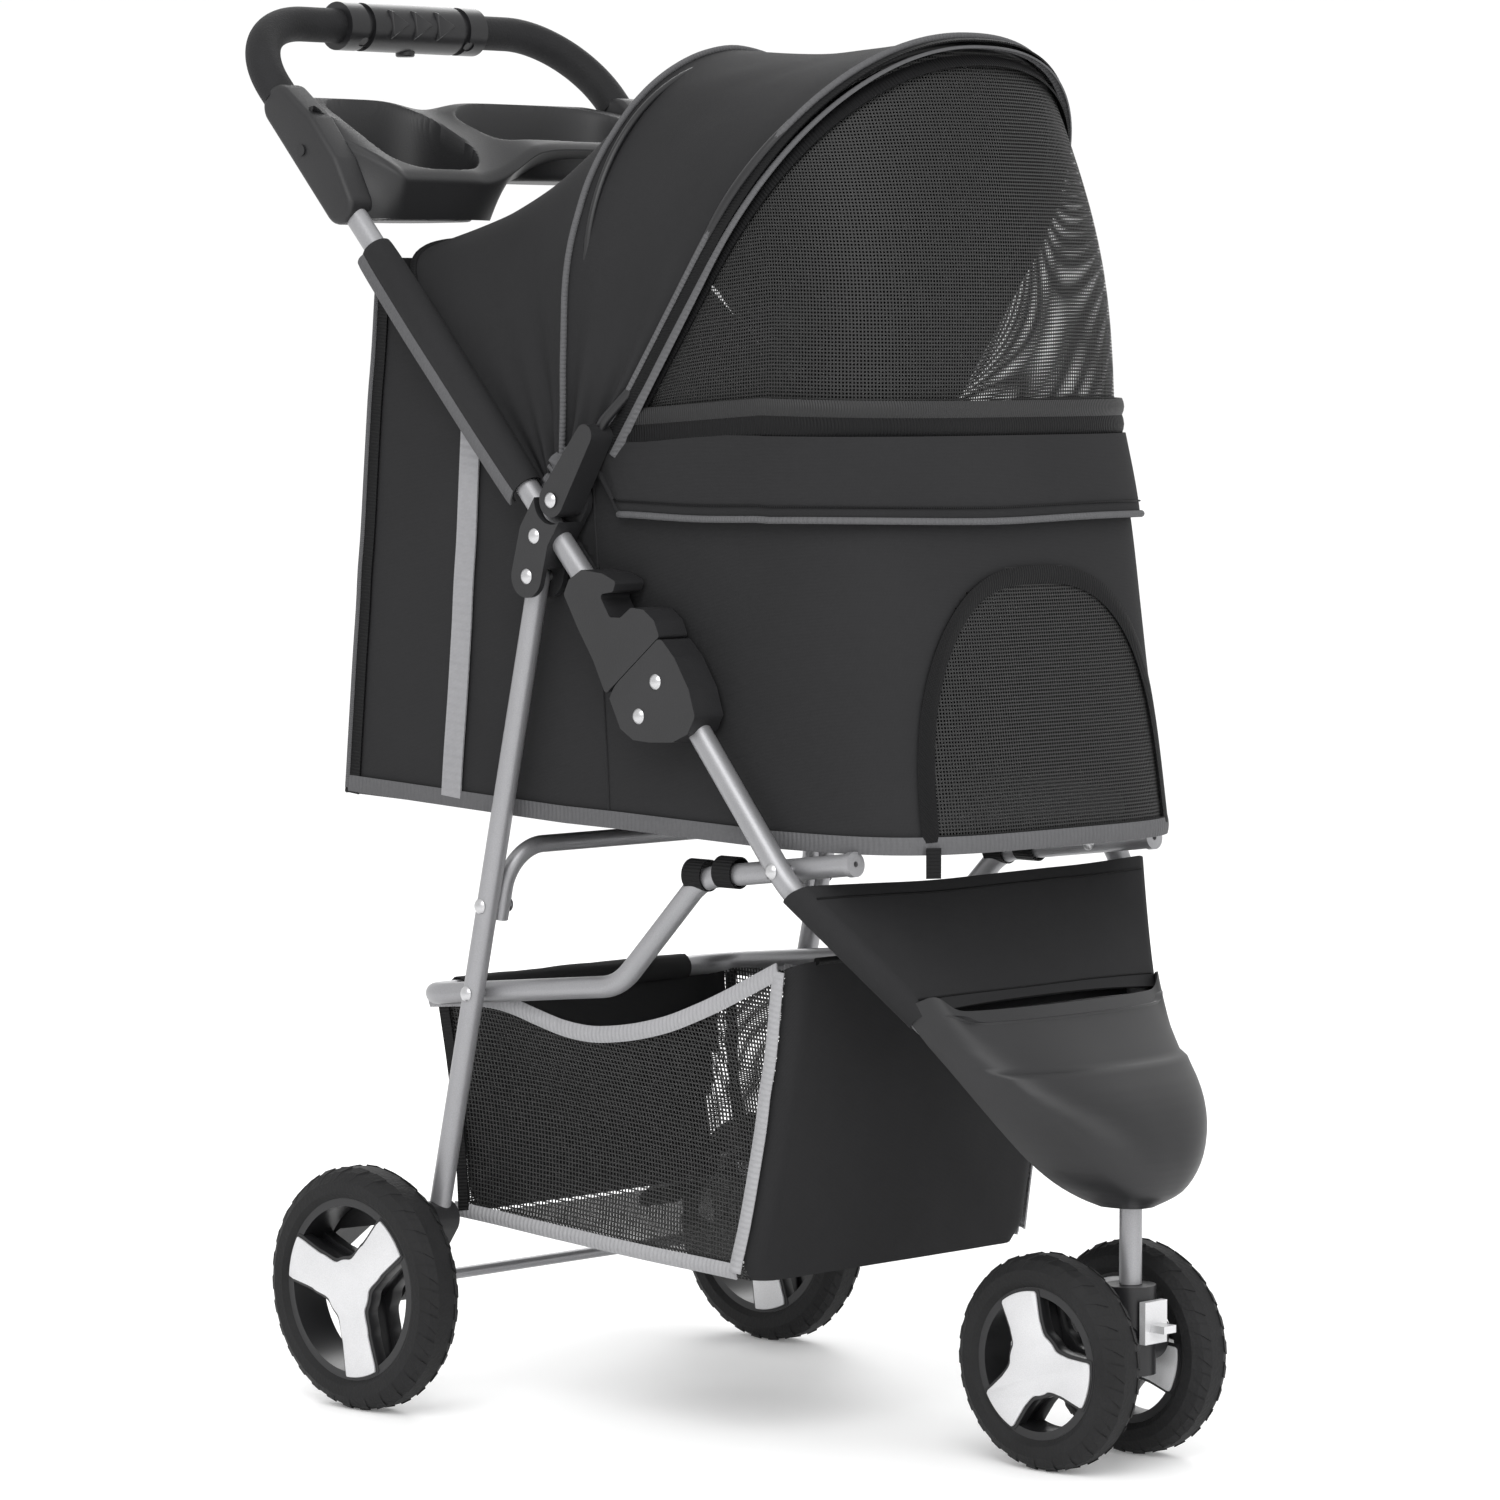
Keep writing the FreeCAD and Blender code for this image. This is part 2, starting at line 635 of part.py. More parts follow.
def handle_screws():
    """Screws of the grip and of the tray."""
    screws = []
    for x in (-GRIP_SCREW_X, GRIP_SCREW_X):
        start = V(x, BAR_Y - (TUBE_R + SEAT) * SIN_UP, BAR_HEIGHT - (TUBE_R + SEAT) * COS_UP)
        screws.append(Part.makeCylinder(SCREW_R, GRIP_R - TUBE_R - 1.5, start, V(0, -SIN_UP, -COS_UP)))
    place = on_upper(TRAY_SCREW, 0)
    right = rod_x(place, SCREW_R, SIDE_X + TUBE_R, SIDE_X + TUBE_R + TRAY_WALL + 2.5)
    return group(screws + [right, mirrored(right)])


def rounded_box(x, y, z, half_x, half_y, radius, height):
    """An upright box with rounded corners, standing at z."""
    box = Part.makeBox(2 * half_x, 2 * half_y, height, V(x - half_x, y - half_y, z))
    upright = [e for e in box.Edges if abs(e.tangentAt(e.FirstParameter).z) > 0.99]
    return box.makeFillet(radius, upright)


def tray():
    """Parent tray between the side tubes: a cup well, a long pocket and two side cheeks."""
    cup_x, cup_y = CUP_HALF
    pocket_x, pocket_y = POCKET_SIZE
    half = SIDE_X - TUBE_R - SEAT
    cup_base = TRAY_Z - TRAY_DEPTH
    pocket_base = TRAY_Z - POCKET_DEPTH
    rim = rounded_box(0, TRAY_Y, TRAY_Z - RIM_DROP, half, TRAY_HALF_Y, RIM_R, RIM_DROP)
    under = rounded_box(0, TRAY_Y, TRAY_Z - RIM_DROP - 1.0, half - TRAY_WALL, TRAY_HALF_Y - TRAY_WALL,
                        RIM_R - TRAY_WALL, RIM_DROP + 1.0 - TRAY_WALL)
    cup = rounded_box(CUP_X, TRAY_Y, cup_base, cup_x, cup_y, CUP_R, TRAY_DEPTH)
    pocket = rounded_box(POCKET_X, TRAY_Y, pocket_base, pocket_x + TRAY_WALL, pocket_y + TRAY_WALL,
                         POCKET_R, POCKET_DEPTH)
    cup_well = rounded_box(CUP_X, TRAY_Y, cup_base + TRAY_WALL, cup_x - TRAY_WALL, cup_y - TRAY_WALL,
                           CUP_R - TRAY_WALL, TRAY_DEPTH)
    pocket_well = rounded_box(POCKET_X, TRAY_Y, pocket_base + TRAY_WALL, pocket_x, pocket_y,
                              POCKET_R - TRAY_WALL, POCKET_DEPTH)
    body = join([rim.cut(under), cup, pocket]).cut([cup_well, pocket_well])
    cheek = link_x(on_upper(CHEEK[0], 0), on_upper(CHEEK[1], 0), *CHEEK_R,
                   SIDE_X - TUBE_R - SEAT - TRAY_WALL, SIDE_X + TUBE_R + TRAY_WALL)
    cheek = cheek.cut(along_upper(CHEEK[0] - BAR_CORNER_R, CHEEK[1] + BAR_CORNER_R, TUBE_R + FIT))
    cheek = cheek.cut(rod_x(on_upper(TRAY_SCREW, 0), SCREW_R, SIDE_X, SIDE_X + 2 * TUBE_R))
    return join([body, cheek, mirrored(cheek)])


def hinge_bracket():
    """Bracket on the upper tube that carries the canopy hoop and the rear leg."""
    low = SIDE_X - BRACKET_HALF
    high = SIDE_X + BRACKET_HALF
    body = join([
        link_x(HOOP_PIVOT, BRACKET_RIVET, LOBE_R, LOBE_R, low, high),
        link_x(BRACKET_RIVET, LEG_PIVOT, LOBE_R, LOBE_R, low, high),
    ])
    bore = along_upper(*BRACKET_BORE, TUBE_R + FIT)
    pocket_low = SIDE_X - POCKET_HALF
    pocket_high = SIDE_X + POCKET_HALF
    pocket = rod_x(LEG_PIVOT, LOBE_R + 3.0, pocket_low, pocket_high)
    hoop_pocket = rod_x(HOOP_PIVOT, LOBE_R + 2.0, pocket_low, high + 1.0)
    holes = [
        rod_x(LEG_PIVOT, PIVOT_R, low, high),
        rod_x(BRACKET_RIVET, RIVET_R, low, high),
        rod_x(HOOP_PIVOT, RIVET_R, low, high),
    ]
    return body.cut([bore, pocket, hoop_pocket] + holes)


def hinge_rivets():
    """Rivets and pivot pins of both hinge brackets."""
    low = SIDE_X - BRACKET_HALF
    high = SIDE_X + BRACKET_HALF
    right = [
        rivet(HOOP_PIVOT, low, high + 1.0),
        rivet(LEG_PIVOT, low, high, PIVOT_R),
        rivet(BRACKET_RIVET, low, high).cut(along_upper(*BRACKET_BORE, TUBE_R + FIT)),
    ]
    return group(right + [mirrored(r) for r in right])


def latch_upper():
    """Plug in the end of the upper tube, with the tongue that turns on the fold pivot."""
    low = SIDE_X - TONGUE_T / 2
    high = SIDE_X + TONGUE_T / 2
    tongue = link_x(FOLD_PIVOT, on_upper(TONGUE_ROOT, 0), TONGUE_R, TUBE_R, low, high)
    tongue = tongue.cut(along_upper(UPPER_TUBE_END - 60.0, UPPER_TUBE_END, TUBE_R + SEAT))
    plug = along_upper(UPPER_TUBE_END - PLUG_IN, TONGUE_ROOT, TUBE_R - TUBE_WALL - FIT)
    body = join([tongue, plug])
    return body.cut(rod_x(FOLD_PIVOT, PIVOT_R + RUNNING, low, high))


def latch_slide():
    """Sliding lock on the upper tube, with its finger hook."""
    outline = [
        on_seam(SEAM_UP, SEAT), about_fold(-15, 64), about_fold(-5, 71), about_fold(7, 72),
        about_fold(17, 65), about_fold(27, 65), about_fold(37, 80), about_fold(24, 82),
        about_fold(21, 89), about_fold(34, 94), about_fold(54, 96), about_fold(66, 89),
        about_fold(71, 79), about_fold(57, 56), about_fold(43, 36), on_seam(-SEAM_DOWN, SEAT),
    ]
    low = SIDE_X - LATCH_IN
    high = SIDE_X + LATCH_OUT
    body = prism_x(outline, low, high, 2.5)
    bore = along_upper(*SLIDE_BORE, TUBE_R + SEAT)
    swing = rod_x(FOLD_PIVOT, SEAM_AHEAD + SEAT, low - 1, high + 1)
    slot = link_x(FOLD_PIVOT, on_upper(UPPER_TUBE_END + 4.0, 0), TONGUE_R + 1, TONGUE_R + 1,
                  SIDE_X - TONGUE_T / 2 - SEAT, SIDE_X + TONGUE_T / 2 + SEAT)
    return body.cut([bore, slot, swing])


# ---- canopy hoop ---------------------------------------------------------
def hoop_plane(distance):
    """(y, z) of a place up the front hoop's plane from its pivot."""
    return (HOOP_PIVOT[0] - distance * math.sin(math.radians(HOOP_TILT)),
            HOOP_PIVOT[1] + distance * math.cos(math.radians(HOOP_TILT)))


def front_hoop():
    """Round hoop of the canopy's front edge, arched between its two sockets."""
    place = in_plane(HOOP_PIVOT, HOOP_TILT)
    half = CANOPY_HALF - 3.0
    right = [
        place(SIDE_X, HOOP_ROOT), place(SIDE_X, HOOP_FOOT + 8.0),
        place(half, HOOP_SHOULDER), place(half, HOOP_LENGTH),
    ]
    radii = [HOOP_BEND_R, HOOP_BEND_R, ARCH_R - 3.0]
    return sweep(right + [V(-p.x, p.y, p.z) for p in right[::-1]], radii + radii[::-1], HOOP_R)


def hoop_socket():
    """Socket that holds the hoop's end and turns on the bracket."""
    low = SIDE_X - POCKET_HALF + SEAT
    high = SIDE_X + BRACKET_HALF
    body = link_x(HOOP_PIVOT, hoop_plane(HOOP_FOOT - 4.0), SOCKET_LOBE_R, 7.5, low, high)
    bore = rod_x(HOOP_PIVOT, RIVET_R + RUNNING, low, high)
    y, z = hoop_plane(HOOP_ROOT - SEAT)
    dy = -math.sin(math.radians(HOOP_TILT))
    dz = math.cos(math.radians(HOOP_TILT))
    well = Part.makeCylinder(HOOP_R + 0.1, 60.0, V(SIDE_X, y, z), V(0, dy, dz))
    return body.cut([bore, well])


# ---- soft goods on the upper frame ---------------------------------------
def side_panel():
    """Side panel of the cabin, from the floor up to the side tube and the zip."""
    front_bottom = -(NOSE_BOTTOM - CORNER_DEPTH)
    front_top = -(NOSE_TOP - CORNER_DEPTH)
    outline = [
        (front_bottom, FLOOR_Z), (CABIN_REAR_BOTTOM, FLOOR_Z + FLOOR_RISE), CABIN_REAR_TOP,
        on_upper(430.0, 0), (HOOP_PIVOT[0] - 10, ZIP_Z), (front_top, ZIP_Z),
    ]
    return prism_x(outline, CABIN_HALF - CLOTH, CABIN_HALF)


def front_shell(thick, outset=0.0, low=FLOOR_Z, high=ZIP_Z, tail=0.0):
    """The rounded front of the cabin between two heights."""
    sections = []
    for z in (low, high):
        place = level(z, nose_at(z) + CORNER_DEPTH)
        depth = CORNER_DEPTH + outset
        sections.append((place, CABIN_HALF + outset, depth, CORNER_R + outset, -tail))
    return u_shell(sections, thick)


def door_prism(margin):
    """The arched outline of the lower door, drawn out forwards."""
    wire = u_wire(lambda x, d: V(x, 0, DOOR_BOTTOM + margin + d),
                  DOOR_HALF - margin, DOOR_TOP - DOOR_BOTTOM - 2 * margin, DOOR_ARCH_R - margin)
    return Part.Face(wire).extrude(V(0, -NOSE_BOTTOM - 40, 0))


def plan_plate(half, front, back, base, thick):
    """A plate with the cabin's rounded front, sloping up to the rear."""
    plate = Part.Face(u_wire(level(base, back), half, back - front, CORNER_R)).extrude(V(0, 0, thick))
    slope = math.degrees(math.atan2(FLOOR_RISE, CABIN_REAR_BOTTOM + NOSE_BOTTOM - CORNER_DEPTH))
    plate.rotate(V(0, -(NOSE_BOTTOM - CORNER_DEPTH), base), V(1, 0, 0), slope)
    return plate


def floor_board():
    """Stiff board in the cabin's floor."""
    inner = CABIN_HALF - CLOTH - SEAT
    return plan_plate(inner, -NOSE_BOTTOM + CLOTH + BOARD_INSET, CABIN_REAR_BOTTOM - CLOTH - REAR_INSET[0],
                      FLOOR_Z + BOARD_LIFT, BOARD_T)


def floor_cushion():
    """Removable pad on the board."""
    inner = CABIN_HALF - CLOTH - 3.0
    base = FLOOR_Z + BOARD_LIFT + BOARD_T + SEAT
    return plan_plate(inner, -NOSE_BOTTOM + CLOTH + PAD_INSET, CABIN_REAR_BOTTOM - CLOTH - REAR_INSET[1],
                      base, PAD_T)


def rear_door():
    """Fabric door that closes the back of the cabin."""
    y, z = CABIN_REAR_TOP
    outline = [
        (CABIN_REAR_BOTTOM - CLOTH, FLOOR_Z + FLOOR_RISE), (CABIN_REAR_BOTTOM, FLOOR_Z + FLOOR_RISE),
        (y, z), (y - CLOTH, z),
    ]
    half = CABIN_HALF - CLOTH
    return prism_x(outline, -half, half)


def canopy():
    """Arched canopy: one sheet from the front hoop over the rear hoop to the side tubes."""
    edge = HOOP_R + 2 * SEAT
    seam = on_upper(HOOP_PIVOT_AT[0], 0)
    return u_shell([
        (in_plane(HOOP_PIVOT, HOOP_TILT, -edge), CANOPY_HALF, HOOP_LENGTH + 4.0, ARCH_R, HOOP_FOOT),
        (in_plane(HOOP_PIVOT, REAR_HOOP_TILT), CANOPY_HALF, REAR_HOOP_LENGTH + 4.0, ARCH_R, CANOPY_FOOT),
        (in_plane(seam, UPPER_RAKE - 90.0), CANOPY_HALF, CANOPY_REAR_LENGTH, CANOPY_REAR_R, CANOPY_FOOT),
    ], CLOTH)


def rear_hoop():
    """Wire hoop that holds the middle of the canopy up."""
    place = in_plane(HOOP_PIVOT, REAR_HOOP_TILT)
    inset = CLOTH + REAR_HOOP_R + 2 * SEAT
    half = CANOPY_HALF - inset
    top = REAR_HOOP_LENGTH - REAR_HOOP_R - 1.0
    points = [place(half, REAR_HOOP_FOOT), place(half, top), place(-half, top), place(-half, REAR_HOOP_FOOT)]
    return sweep(points, [ARCH_R - inset, ARCH_R - inset], REAR_HOOP_R)


def window_mesh():
    """Mesh window between the front hoop and the zip."""
    edge = HOOP_R + 2 * SEAT
    back = HOOP_PIVOT[0] - 50.0
    top = HOOP_LENGTH + HOOP_R
    return u_shell([
        (level(ZIP_Z + 1.0, back), CABIN_HALF, back - nose_at(ZIP_Z), CORNER_R, 0.0),
        (in_plane(HOOP_PIVOT, HOOP_TILT, edge), CABIN_HALF, top, ARCH_R - 6.0, HOOP_FOOT + 26.0),
    ], MESH_T)


def front_flap():
    """Rolled flap that hangs over the front below the zip."""
    return front_shell(FLAP_T, FLAP_T + SEAT, ZIP_Z - FLAP_DROP, ZIP_Z - 4.0, FLAP_BACK)


# ---- seat bar ------------------------------------------------------------
def sbar_point(pivot, distance, slope):
    """(y, z) on one of the seat bar's arms, from its pivot towards the rear."""
    angle = math.radians(slope)
    return (pivot[0] + distance * math.cos(angle), pivot[1] - distance * math.sin(angle))


def sbar_points():
    """The seat bar's corners, from the right nose round the back to the left nose."""
    side = [
        sbar_point(SBAR_PIVOT, -SBAR_NOSE, SBAR_FRONT_SLOPE),
        sbar_point(SBAR_PIVOT, SBAR_FRONT_ARM, SBAR_FRONT_SLOPE),
        sbar_point(LEG_SBAR_PIVOT, -SBAR_REAR_ARM, SBAR_REAR_SLOPE),
        sbar_point(LEG_SBAR_PIVOT, SBAR_TAIL, SBAR_REAR_SLOPE),
    ]
    right = [V(SBAR_X, y, z) for y, z in side]
    return right + [V(-p.x, p.y, p.z) for p in right[::-1]]


def s_bar():
    """One bent tube under the cabin: two side arms and the basket's rear bar."""
    radii = [SBAR_BEND_R, SBAR_BEND_R, SBAR_CORNER_R, SBAR_CORNER_R, SBAR_BEND_R, SBAR_BEND_R]
    body = tube(sbar_points(), radii, SBAR_R, TUBE_WALL)
    hole = rod_x(SBAR_PIVOT, PIVOT_R + RUNNING, SBAR_X - 2 * SBAR_R, SBAR_X + 2 * SBAR_R)
    return body.cut([hole, mirrored(hole)])


def end_caps():
    """Plastic caps in the seat bar's two front ends."""
    points = sbar_points()
    away = (points[0] - points[1]).normalize()
    plug = Part.makeCylinder(SBAR_R - TUBE_WALL - FIT, 12.0, points[0] - away * 12.0, away)
    head = Part.makeCylinder(SBAR_R + 0.8, 5.0, points[0], away)
    hole = Part.makeCylinder(2.0, 30.0, points[0] - away * 15.0, away)
    right = join([plug, head]).cut(hole)
    return group([right, mirrored(right)])


def basket():
    """Storage basket hung between the seat bar's arms, open on top."""
    half = SBAR_X - SBAR_R - SEAT
    tail = sbar_point(LEG_SBAR_PIVOT, SBAR_TAIL, SBAR_REAR_SLOPE)
    rear_top = (tail[0] - 4.0, tail[1] - SBAR_R - SEAT)
    outline = [BASKET_BOTTOM_FRONT, BASKET_BOTTOM_REAR, rear_top, BASKET_DIP, BASKET_TOP_FRONT]
    outer = prism_x(outline, -half, half)
    wall = CLOTH
    above = 60.0
    inner_outline = [
        (BASKET_BOTTOM_FRONT[0] + wall, BASKET_BOTTOM_FRONT[1] + wall),
        (BASKET_BOTTOM_REAR[0] - wall, BASKET_BOTTOM_REAR[1] + wall),
        (rear_top[0] - wall, rear_top[1] + above), (BASKET_DIP[0], BASKET_DIP[1] + above),
        (BASKET_TOP_FRONT[0] + wall, BASKET_TOP_FRONT[1] + above),
        (BASKET_TOP_FRONT[0] + wall, BASKET_TOP_FRONT[1]),
    ]
    return outer.cut(prism_x(inner_outline, -half + wall, half - wall))


# ---- rear legs -----------------------------------------------------------
def rear_leg():
    """Rear leg, a straight tube with a rounded, holed top."""
    y, z = on_leg(0)
    low_y, low_z = on_leg(LEG_LENGTH)
    way = V(0, low_y - y, low_z - z)
    outer = Part.makeCylinder(LEG_R, LEG_LENGTH, V(SIDE_X, y, z), way)
    inner = Part.makeCylinder(LEG_R - TUBE_WALL, LEG_LENGTH - 12, V(SIDE_X, *on_leg(12)), way)
    cap = Part.makeSphere(LEG_R, V(SIDE_X, y, z))
    body = join([outer, cap]).cut(inner)
    low = SIDE_X - 2 * LEG_R
    high = SIDE_X + 2 * LEG_R
    holes = [
        rod_x(LEG_PIVOT, PIVOT_R + RUNNING, low, high),
        rod_x(on_leg(CROSSBAR_RIVET), RIVET_R, low, high),
        rod_x(LEG_SBAR_PIVOT, RIVET_R, low, high),
    ]
    return body.cut(holes)


def leg_crossbar():
    """Inverted U between the legs that carries the back of the cabin."""
    x = SIDE_X - LEG_R - CROSS_R
    foot = on_leg(CROSSBAR_RIVET + 10.0)
    top_along = (LEG_PIVOT[1] - CROSSBAR_TOP) / math.cos(math.radians(LEG_RAKE))
    top = on_leg(top_along)
    points = [V(x, *foot), V(x, *top), V(-x, *top), V(-x, *foot)]
    body = sweep(points, [30.0, 30.0], CROSS_R)
    hole = rod_x(on_leg(CROSSBAR_RIVET), RIVET_R, x - 2 * CROSS_R, x + 2 * CROSS_R)
    return body.cut([hole, mirrored(hole)])


def leg_rivets():
    """Rivets of the crossbar and of the seat bar in the legs."""
    inner = SIDE_X - LEG_R - 2 * CROSS_R
    outer = SIDE_X + LEG_R
    cross = rivet(on_leg(CROSSBAR_RIVET), inner, outer)
    stub = rod_x(LEG_SBAR_PIVOT, RIVET_R, SBAR_X + SBAR_R + SEAT, outer)
    cap = rivet(LEG_SBAR_PIVOT, outer - 2, outer).common(
        Part.makeBox(20, 40, 40, V(outer, LEG_SBAR_PIVOT[0] - 20, LEG_SBAR_PIVOT[1] - 20)))
    right = [cross, join([stub, cap])]
    return group(right + [mirrored(r) for r in right])


def axle_shoe():
    """Moulded shoe on the leg's foot that carries the axle and the brake."""
    axle = (REAR_AXLE_Y, REAR_WHEEL_R)
    foot = on_leg(LEG_LENGTH - 12)
    low = SIDE_X - SHOE_IN
    high = SIDE_X + SHOE_OUT
    body = join([
        link_x(axle, foot, SHOE_R, SHOE_R - 0.5, low, high),
        link_x(axle, BRAKE_PIVOT, SHOE_R - 1.0, 8.0, low, high),
        rod_x(axle, BOSS_FACE, high, REAR_WHEEL_X - REAR_WHEEL_W / 2 - WHEEL_GAP + 1.0),
    ])
    y, z = on_leg(LEG_LENGTH)
    up_y, up_z = on_leg(0)
    socket = Part.makeCylinder(LEG_R + FIT, 60.0, V(SIDE_X, y, z), V(0, up_y - y, up_z - z))
    bore = rod_x(axle, AXLE_R, low, REAR_WHEEL_X)
    brake_hole = rod_x(BRAKE_PIVOT, RIVET_R, low, high)
    return body.cut([socket, bore, brake_hole])


def rear_axle():
    """Steel rod through both shoes and wheels."""
    half = REAR_WHEEL_X + REAR_WHEEL_W / 2 - AXLE_END
    return rod_x((REAR_AXLE_Y, REAR_WHEEL_R), AXLE_R, -half, half)


def brake_pedal():
    """Curved brake pedal beside the wheel, with its own pivot stub and foot pad."""
    low = SIDE_X + SHOE_OUT + SEAT
    high = REAR_WHEEL_X - REAR_WHEEL_W / 2 - WHEEL_GAP
    middle = (REAR_AXLE_Y + BRAKE_BEND[0], REAR_WHEEL_R + BRAKE_BEND[1])
    tip = (REAR_AXLE_Y + BRAKE_TIP[0], REAR_WHEEL_R + BRAKE_TIP[1])
    pad_low = SIDE_X - SHOE_IN - 6.0
    return join([
        link_x(BRAKE_PIVOT, middle, 8.0, 7.0, low, high),
        link_x(middle, tip, 7.0, 5.0, low, high),
        link_x(middle, tip, 5.0, 5.0, pad_low, low),
        rod_x(BRAKE_PIVOT, RIVET_R - RUNNING, SIDE_X - SHOE_IN, low),
    ])


# ---- wheels --------------------------------------------------------------
def revolve_x(profile, place):
    """Turns an (x, r) profile about an axis across the stroller at (y, z)."""
    points = [V(x, place[0], place[1] + r) for x, r in profile]
    face = Part.Face(Part.makePolygon(points + points[:1]))
    return face.revolve(V(0, place[0], place[1]), V(1, 0, 0), 360)


def tyre(x, radius, width, place):
    """Foam-filled tyre with a crowned tread and rounded shoulders."""
    half = width / 2
    inner = radius - TYRE_SECTION
    return revolve_x([
        (x - half + 3, inner), (x - half, inner + 4), (x - half, radius - 9),
        (x - half + 4, radius - 3), (x - half + 10, radius), (x + half - 10, radius),
        (x + half - 4, radius - 3), (x + half, radius - 9), (x + half, inner + 4), (x + half - 3, inner),
    ], place)


def rim(x, radius, width, place, turn):
    """Three-spoke rim with a bored hub."""
    half = width / 2 - 3
    outer = radius - TYRE_SECTION - 0.1
    barrel = revolve_x([
        (x - half, outer - RIM_WALL), (x - half, outer), (x + half, outer), (x + half, outer - RIM_WALL),
    ], place)
    hub = rod_x(place, HUB_R, x - half, x + half)
    spokes = []
    for i in range(3):
        angle = math.radians(turn + 120 * i)
        reach = outer - RIM_WALL / 2
        end = (place[0] + reach * math.cos(angle), place[1] + reach * math.sin(angle))
        spoke = link_x(place, end, SPOKE_W / 2, SPOKE_W / 2, x - SPOKE_T / 2, x + SPOKE_T / 2)
        spokes.append(spoke.common(rod_x(place, reach, x - half, x + half)))
    body = join([barrel, hub] + spokes)
    return body.cut(rod_x(place, AXLE_R + RUNNING, x - half - 1, x + half + 1))


# ---- caster --------------------------------------------------------------
def caster_body():
    """Swivel housing on the stem, between the two front wheels."""
    axle = (FRONT_AXLE_Y, FRONT_WHEEL_R)
    half = CASTER_HALF - 6.0
    head = Part.makeCylinder(CASTER_HEAD_R, CASTER_TOP - CASTER_LOW, V(0, STEM_Y, CASTER_LOW), V(0, 0, 1))
    arm = link_x((STEM_Y, FRONT_WHEEL_R + 14), axle, 16.0, 13.0, -half, half)
    boss = rod_x(axle, BOSS_FACE, -CASTER_HALF, CASTER_HALF)
    body = join([head, arm, boss])
    socket = Part.makeCylinder(STEM_PIN_R + RUNNING, 2 * STEM_PIN,
                               V(0, STEM_Y, CASTER_TOP - STEM_PIN - SEAT), V(0, 0, 1))
    return body.cut([socket, rod_x(axle, AXLE_R, -CASTER_HALF, CASTER_HALF)])


def front_axle():
    """Steel rod through the caster and both front wheels."""
    half = FRONT_WHEEL_X + FRONT_WHEEL_W / 2 - AXLE_END
    return rod_x((FRONT_AXLE_Y, FRONT_WHEEL_R), AXLE_R, -half, half)


def caster_lock():
    """Clip that slides on the front of the caster to stop it turning."""
    front = STEM_Y - CASTER_HEAD_R - SEAT
    plate = Part.makeBox(LOCK_W, LOCK_T, LOCK_HIGH - LOCK_LOW, V(-LOCK_W / 2, front - LOCK_T, LOCK_LOW))
    tab = Part.makeBox(LOCK_TAB, LOCK_TAB, LOCK_T,
                       V(-LOCK_TAB / 2, front - LOCK_T - LOCK_TAB, LOCK_LOW + 8.0))
    return join([plate, tab])


def build():
    """Makes every node."""
    os.makedirs("parts", exist_ok=True)
    save_pair("front_tube", front_tube())
    save("fork_cover", fork_cover())
    save("caster_stem", caster_stem())
    save("front_panel", front_panel())
    save_pair("latch_lower", latch_lower())
    save("latch_pins", latch_pins())
    save("s_bar_rivets", sbar_rivets())

    save("handle_tube", handle_tube())
    save_pair("foam_grip", foam())
    save("grip_housing", grip())
    save("grip_button", grip_button())
    save("handle_screws", handle_screws())
    save("parent_tray", tray())
    save_pair("hinge_bracket", hinge_bracket())
    save("hinge_rivets", hinge_rivets())
    save_pair("latch_upper", latch_upper())
    save_pair("latch_slide", latch_slide())

    save("front_hoop", front_hoop())
    save_pair("hoop_socket", hoop_socket())

    save_pair("side_panel", side_panel())
    shell = front_shell(CLOTH)
    save("front_wall", shell.cut(door_prism(0.0)))
    save("lower_door", shell.common(door_prism(SEAT)))
    save("rear_door", rear_door())
    save("floor_board", floor_board())
    save("floor_cushion", floor_cushion())
    save("canopy", canopy())
    save("rear_hoop", rear_hoop())
    save("window_mesh", window_mesh())
    save("front_flap", front_flap())

    save("s_bar", s_bar())
    save("s_bar_caps", end_caps())
    save("basket", basket())

    save_pair("rear_leg", rear_leg())
    save("leg_crossbar", leg_crossbar())
    save("leg_rivets", leg_rivets())
    save_pair("axle_shoe", axle_shoe())
    save("rear_axle", rear_axle())
    save_pair("brake_pedal", brake_pedal())

    rear = (REAR_AXLE_Y, REAR_WHEEL_R)
    front = (FRONT_AXLE_Y, FRONT_WHEEL_R)
    save_pair("rear_tyre", tyre(REAR_WHEEL_X, REAR_WHEEL_R, REAR_WHEEL_W, rear))
    save_pair("rear_rim", rim(REAR_WHEEL_X, REAR_WHEEL_R, REAR_WHEEL_W, rear, REAR_SPOKE))
    save_pair("front_tyre", tyre(FRONT_WHEEL_X, FRONT_WHEEL_R, FRONT_WHEEL_W, front))
    save_pair("front_rim", rim(FRONT_WHEEL_X, FRONT_WHEEL_R, FRONT_WHEEL_W, front, FRONT_SPOKE))
    save("caster_body", caster_body())
    save("front_axle", front_axle())
    save("caster_lock", caster_lock())


build()
